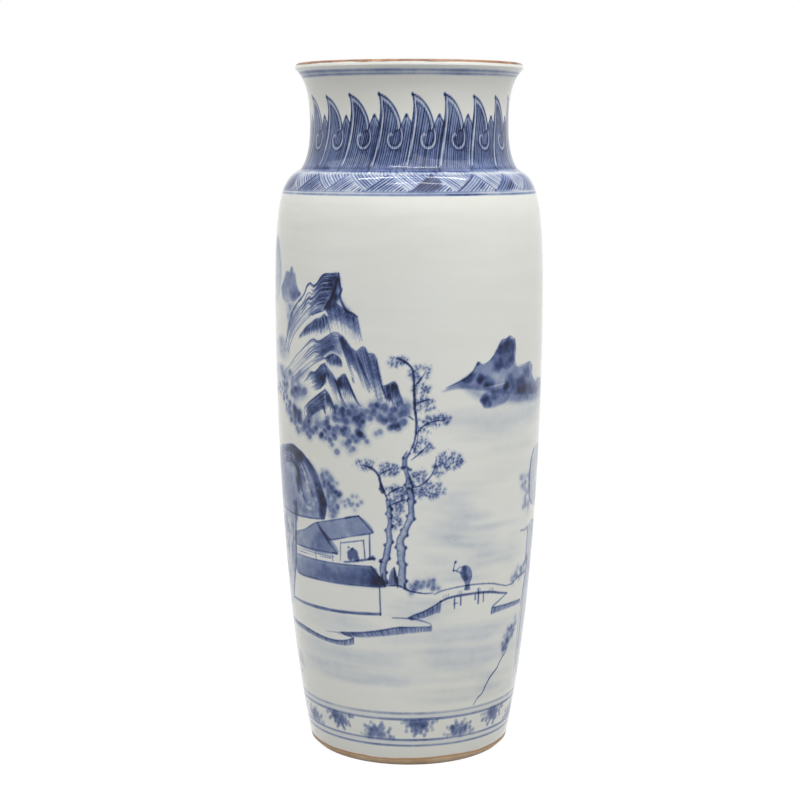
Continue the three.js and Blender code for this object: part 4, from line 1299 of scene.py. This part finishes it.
# the border on the shoulder: rows of straight lines that lean right and left in turn, over a pale wash
FRETS = 18
FRET_STEP = ROUND_MM / FRETS
ring(375.9, 12.6, 0.13, 0.0)
for height, width, ink in ((367.9, 1.4, 0.26), (369.6, 1.0, 0.16), (368.6, 3.0, 0.06)):
    ring(height, width, ink)
stroke([(24, 368), (38, 368), (54, 368.2)], 1.2, 0.30)
for k in range(FRETS):
    x = 0.9 + k * FRET_STEP + chance.uniform(-0.8, 0.8)
    peak, after = x + FRET_STEP / 2, x + FRET_STEP
    wash([(x, 370), (peak, 380), (x + FRET_STEP * 0.72, 374), (x + FRET_STEP * 0.5, 370.2)],
         chance.choice([0.10, 0.20, 0.34]), 2.4)
    comb([(peak, 380.2), (after, 370.2)], [(x, 370.2), (after, 370.2)], 11, 0.0, 0.75, (0.58, 0.62), 0.02,
         (0.94, 1.0), 0.25, 0.1)
    comb([(x - FRET_STEP / 2, 380.2), (peak, 380.2)], [(x, 370.2), (peak, 380.2)], 11, 0.0, 0.75,
         (0.55, 0.60), 0.02,
         (0.94, 1.0), 0.25, 0.1)
    stroke([(x, 370), (peak, 380.2)], 0.7, 0.30, 0.2, 0.25)
comb([(0, 382.6), (ROUND_MM, 382.6)], [(1.6, 380), (ROUND_MM + 1.6, 380)], 210, 0.0, 0.55, (0.42, 0.30),
     0.1)

# the border on the neck: tall curled leaves with light veins, and small pointed ones between them
LEAVES = 20
LEAF_STEP = ROUND_MM / LEAVES
LEAF_FOOT = 384.5


def leaf_at(x, stretch):
    return lambda points: np.array([(x + a, LEAF_FOOT + (b - LEAF_FOOT) * stretch) for a, b in points])


for k in range(LEAVES):
    x = 2 + k * LEAF_STEP + chance.uniform(-0.3, 0.3)
    leaf = leaf_at(x, 0.968 + chance.uniform(-0.015, 0.015))
    back = leaf([(0, 430), (0.9, 426), (1.2, 420), (0.4, 413), (-1.6, 404), (-4, 395), (-7, 384.5)])
    front = leaf([(0, 430), (5, 428.3), (10, 424.8), (14, 420.3), (17, 415), (18.3, 410.5), (17.4, 408)])
    lancet = leaf([(18.2, 410.5), (20.4, 414), (23, 417.6), (25.2, 414.6), (27.6, 410.5)])
    skyline = leaf([(1.0, 424), (5, 427.3), (10, 423.8), (14, 419.3), (17, 414), (18.4, 410.8),
                    (20.4, 413.4),
                    (23, 416.6), (25.2, 414), (27, 411)])
    ground = [(x - 6, 384.2), (x + 8, 384.2), (x + 20.5, 384.2)]
    wash(np.vstack([[(x - 7.4, 381.8)], back[::-1], front[1:], lancet[1:],
                    [(x + LEAF_STEP - 7, 386), (x + LEAF_STEP - 7.4, 381.8)]]), 0.38, 0.7)
    comb(skyline, ground, 15, 0.0, 0.9, (0.60, 0.66), 0.01, (0.98, 1.0), 0.3, 0.10)
    for width, share, *vein in (
            (1.5, 0.70, (2.2, 425.5), (2.9, 419), (2.3, 412), (0.4, 403), (-2.2, 394), (-4.6, 386)),
            (1.5, 0.70, (2.4, 427.3), (8, 424.6), (12.3, 420.3), (15.3, 415.3), (16.6, 411), (16.4, 408.6)),
            (1.4, 0.70, (18, 409), (19.4, 405), (18.9, 400.4), (15.8, 397), (11.2, 396.6), (7.9, 399.4),
             (7.5, 403),
             (9.4, 405.2), (11.4, 404.4)),
            (1.0, 0.50, (20, 410.6), (21.4, 413.2), (23, 415.3), (24.6, 413.2), (26.2, 410.6))):
        stroke(leaf(vein), width, share, 0.2, 0.4, True)
    for width, ink, *edge in (
            (0.6, 0.52, (4.0, 424.6), (4.5, 419), (3.9, 411), (2.1, 402), (-0.5, 393), (-3.3, 384.6)),
            (0.6, 0.52, (4.0, 424.6), (8, 422.1), (11.6, 418), (13.8, 413.6), (14.9, 409.5)),
            (0.6, 0.50, (17.3, 408.4), (17.8, 404.6), (17.2, 400.8), (14.9, 398.6), (11.4, 398.4),
             (9.6, 400.4),
             (9.4, 402.6)),
            (0.6, 0.46, (20.4, 405), (20, 399.6), (16.4, 395.6), (11, 395.2), (6.6, 398.6), (6.2, 403.4)),
            (0.9, 0.50, (17.5, 408), (13.6, 406.6), (12.6, 404.2))):
        stroke(leaf(edge), width, ink, 0.2, 0.28)
    stroke(back, 0.85, 0.62, 0.15)
    stroke(front, 0.95, 0.66, 0.15)
    stroke(lancet, 0.8, 0.5, 0.3)
    dab(x, leaf([(0, 430)])[0][1], 1.15, 0.55, 0.6)
    dab(x + 22.8, 415.6, 0.9, 0.4, 0.7)
for height, width, ink in ((443.6, 1.5, 0.25), (441.2, 1.2, 0.21), (442.4, 3.0, 0.14), (383.6, 1.4, 0.30)):
    ring(height, width, ink)

# Making the wall
# The foot and the painted wall up to the shoulder, in rings that meet edge to edge.
# They are one thrown and fired porcelain body, glazed inside and out above the bare foot.
FINE_ROW = 0.0006
UPPER_WALL_TOP = 0.338
SHOULDER_BEND = 0.3655
SHOULDER_ROW = 0.0004
foot = throw_on_wheel("foot_and_floor", foot_section(), WALL_TURNS)
foot.data.materials.append(burnt_foot)
carry_paint(foot)
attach(foot, "root")
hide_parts("base_section")
wall_band("border_wall", heights_at_pitch(border_low, base_joint, FINE_ROW), ("base_section", "base_lute"))
lower_edges = np.linspace(base_joint, waist_joint, 4)
upper_edges = np.linspace(waist_joint, UPPER_WALL_TOP, 4)
for name, low, high, nodes in (
        ("lower_wall_1", *lower_edges[0:2], ("lower_body", "base_lute")),
        ("lower_wall_2", *lower_edges[1:3], ("lower_body",)),
        ("lower_wall_3", *lower_edges[2:4], ("lower_body", "waist_lute")),
        ("upper_wall_1", *upper_edges[0:2], ("upper_body", "waist_lute")),
        ("upper_wall_2", *upper_edges[1:3], ("upper_body",)),
        ("upper_wall_3", *upper_edges[2:4], ("upper_body",))):
    wall_band(name, heights_at_pitch(low, high, FINE_ROW), nodes)
shoulder_heights = np.concatenate([np.linspace(UPPER_WALL_TOP, SHOULDER_BEND, 9)[:-1],
                                   heights_at_pitch(SHOULDER_BEND, neck_joint, SHOULDER_ROW)])
wall_band("shoulder_wall", shoulder_heights, ("upper_body", "neck_lute"))

# Neck and lip
# The waisted neck with its rounded lip, thrown on its own and luted to the shoulder.
# Long curled leaves stand round it, its lip has two blue rings, and the iron brown of its crest runs over.
CREST_RISE = 0.0031
DRESSING_WIDTH = 0.0032
NECK_TURNS = 1000
LEAVES_END = 0.4322
LEAF_ROW = 0.0009
PLAIN_NECK = (0.4335, 0.4390)
PLAIN_ROW = 0.0018
LIP_RINGS = (0.4400, 0.4450)
LIP_ROW = 0.0007
THROAT_STEPS = 12
BROWN_FROM = 0.4484
BROWN_WANDER = 0.0012
BROWN_BLUR = 0.0005


def iron_brown(nodes, links, place):
    """Iron-brown slip, redder where it is thick."""
    patches = noise_node(nodes, links, place, 70.0, 4.0)
    return ramp_node(nodes, links, patches.outputs["Fac"],
                     [(0.30, (0.075, 0.030, 0.015)), (0.48, (0.17, 0.070, 0.028)),
                      (0.62, (0.26, 0.13, 0.06)),
                      (0.80, (0.38, 0.26, 0.16))])


def neck_finish():
    """The painted glaze, with iron brown that creeps down from the crest of the lip."""
    material, nodes, links = plain_nodes("neck_glaze")
    place = nodes.new("ShaderNodeTexCoord").outputs["Object"]
    shader = nodes["Principled BSDF"]
    up = nodes.new("ShaderNodeSeparateXYZ")
    links.new(place, up.inputs["Vector"])
    wander = noise_node(nodes, links, place, 48.0, 3.0).outputs["Fac"]
    edge = math_node(nodes, links, "MULTIPLY_ADD", wander, BROWN_WANDER, BROWN_FROM - BROWN_WANDER / 2)
    brown = step_at(nodes, links, up.outputs["Z"], edge, BROWN_BLUR)
    colour = mix_colours(nodes, links, brown, glaze_colour(nodes, links, place),
                         iron_brown(nodes, links, place))
    links.new(colour, shader.inputs["Base Color"])
    links.new(glaze_relief(nodes, links, place), shader.inputs["Normal"])
    links.new(math_node(nodes, links, "MULTIPLY_ADD", brown, 0.2, GLAZE_ROUGHNESS),
              shader.inputs["Roughness"])
    shader.inputs["IOR"].default_value = GLAZE_IOR
    return material


def neck_section():
    crest = lip_height + CREST_RISE
    middle = LIP_RADIUS - NECK_WALL / 2
    outer_lip, inner_lip = (LIP_RADIUS, lip_height), (LIP_RADIUS - NECK_WALL, lip_height)
    crest_outside, crest_inside = (middle + DRESSING_WIDTH / 2, crest), (middle - DRESSING_WIDTH / 2, crest)
    heights = np.concatenate([
        heights_at_pitch(neck_joint, LEAVES_END, LEAF_ROW), heights_at_pitch(*PLAIN_NECK, PLAIN_ROW),
        heights_at_pitch(*LIP_RINGS, LIP_ROW), [lip_height]])
    throat = [(inner_radius(h), h) for h in np.linspace(lip_height - 0.002, neck_joint, THROAT_STEPS)
              if inner_radius(h) < inner_lip[0]]
    section = [(outer_radius(h), h) for h in heights]
    section += [*quarter_round(outer_lip, crest_outside, True, 5), crest_outside, crest_inside,
                *quarter_round(crest_inside, inner_lip, False, 5), inner_lip, *throat]
    return section + [section[0]]


neck = throw_on_wheel("neck_and_lip", neck_section(), NECK_TURNS)
neck.data.materials.append(neck_finish())
carry_paint(neck)
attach(neck, "root")
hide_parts("neck", "neck_lute")

# Lip dressing
# Iron-brown slip brushed round the crest of the lip, thin and worn, burnt redder where it is thick.
# It is put on the raw lip and fuses with it and with the glaze in the fire.
DRESSING_THICKNESS = 0.0004
DRESSING_FLAT = 0.45
DRESSING_ROUGHNESS = 0.32
DRESSING_TURNS = 360


def dressing_finish():
    material, nodes, links = plain_nodes("iron_brown")
    place = nodes.new("ShaderNodeTexCoord").outputs["Object"]
    shader = nodes["Principled BSDF"]
    links.new(iron_brown(nodes, links, place), shader.inputs["Base Color"])
    shader.inputs["Roughness"].default_value = DRESSING_ROUGHNESS
    grain = noise_node(nodes, links, place, 700.0, 3.0).outputs["Fac"]
    links.new(bump_node(nodes, links, grain, 0.3, 0.0003), shader.inputs["Normal"])
    return material


def dressing_section():
    crest = lip_height + CREST_RISE
    middle, half = LIP_RADIUS - NECK_WALL / 2, DRESSING_WIDTH / 2
    top = crest + DRESSING_THICKNESS
    outside, inside = (middle + half, crest), (middle - half, crest)
    top_outside, top_inside = (middle + half * DRESSING_FLAT, top), (middle - half * DRESSING_FLAT, top)
    section = [outside, *quarter_round(outside, top_outside, True, 4), top_outside,
               top_inside, *quarter_round(top_inside, inside, False, 4), inside]
    return section + [section[0]]


dressing = throw_on_wheel("lip_dressing", dressing_section(), DRESSING_TURNS)
dressing.data.materials.append(dressing_finish())
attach(dressing, "root")
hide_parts("rim_dressing")
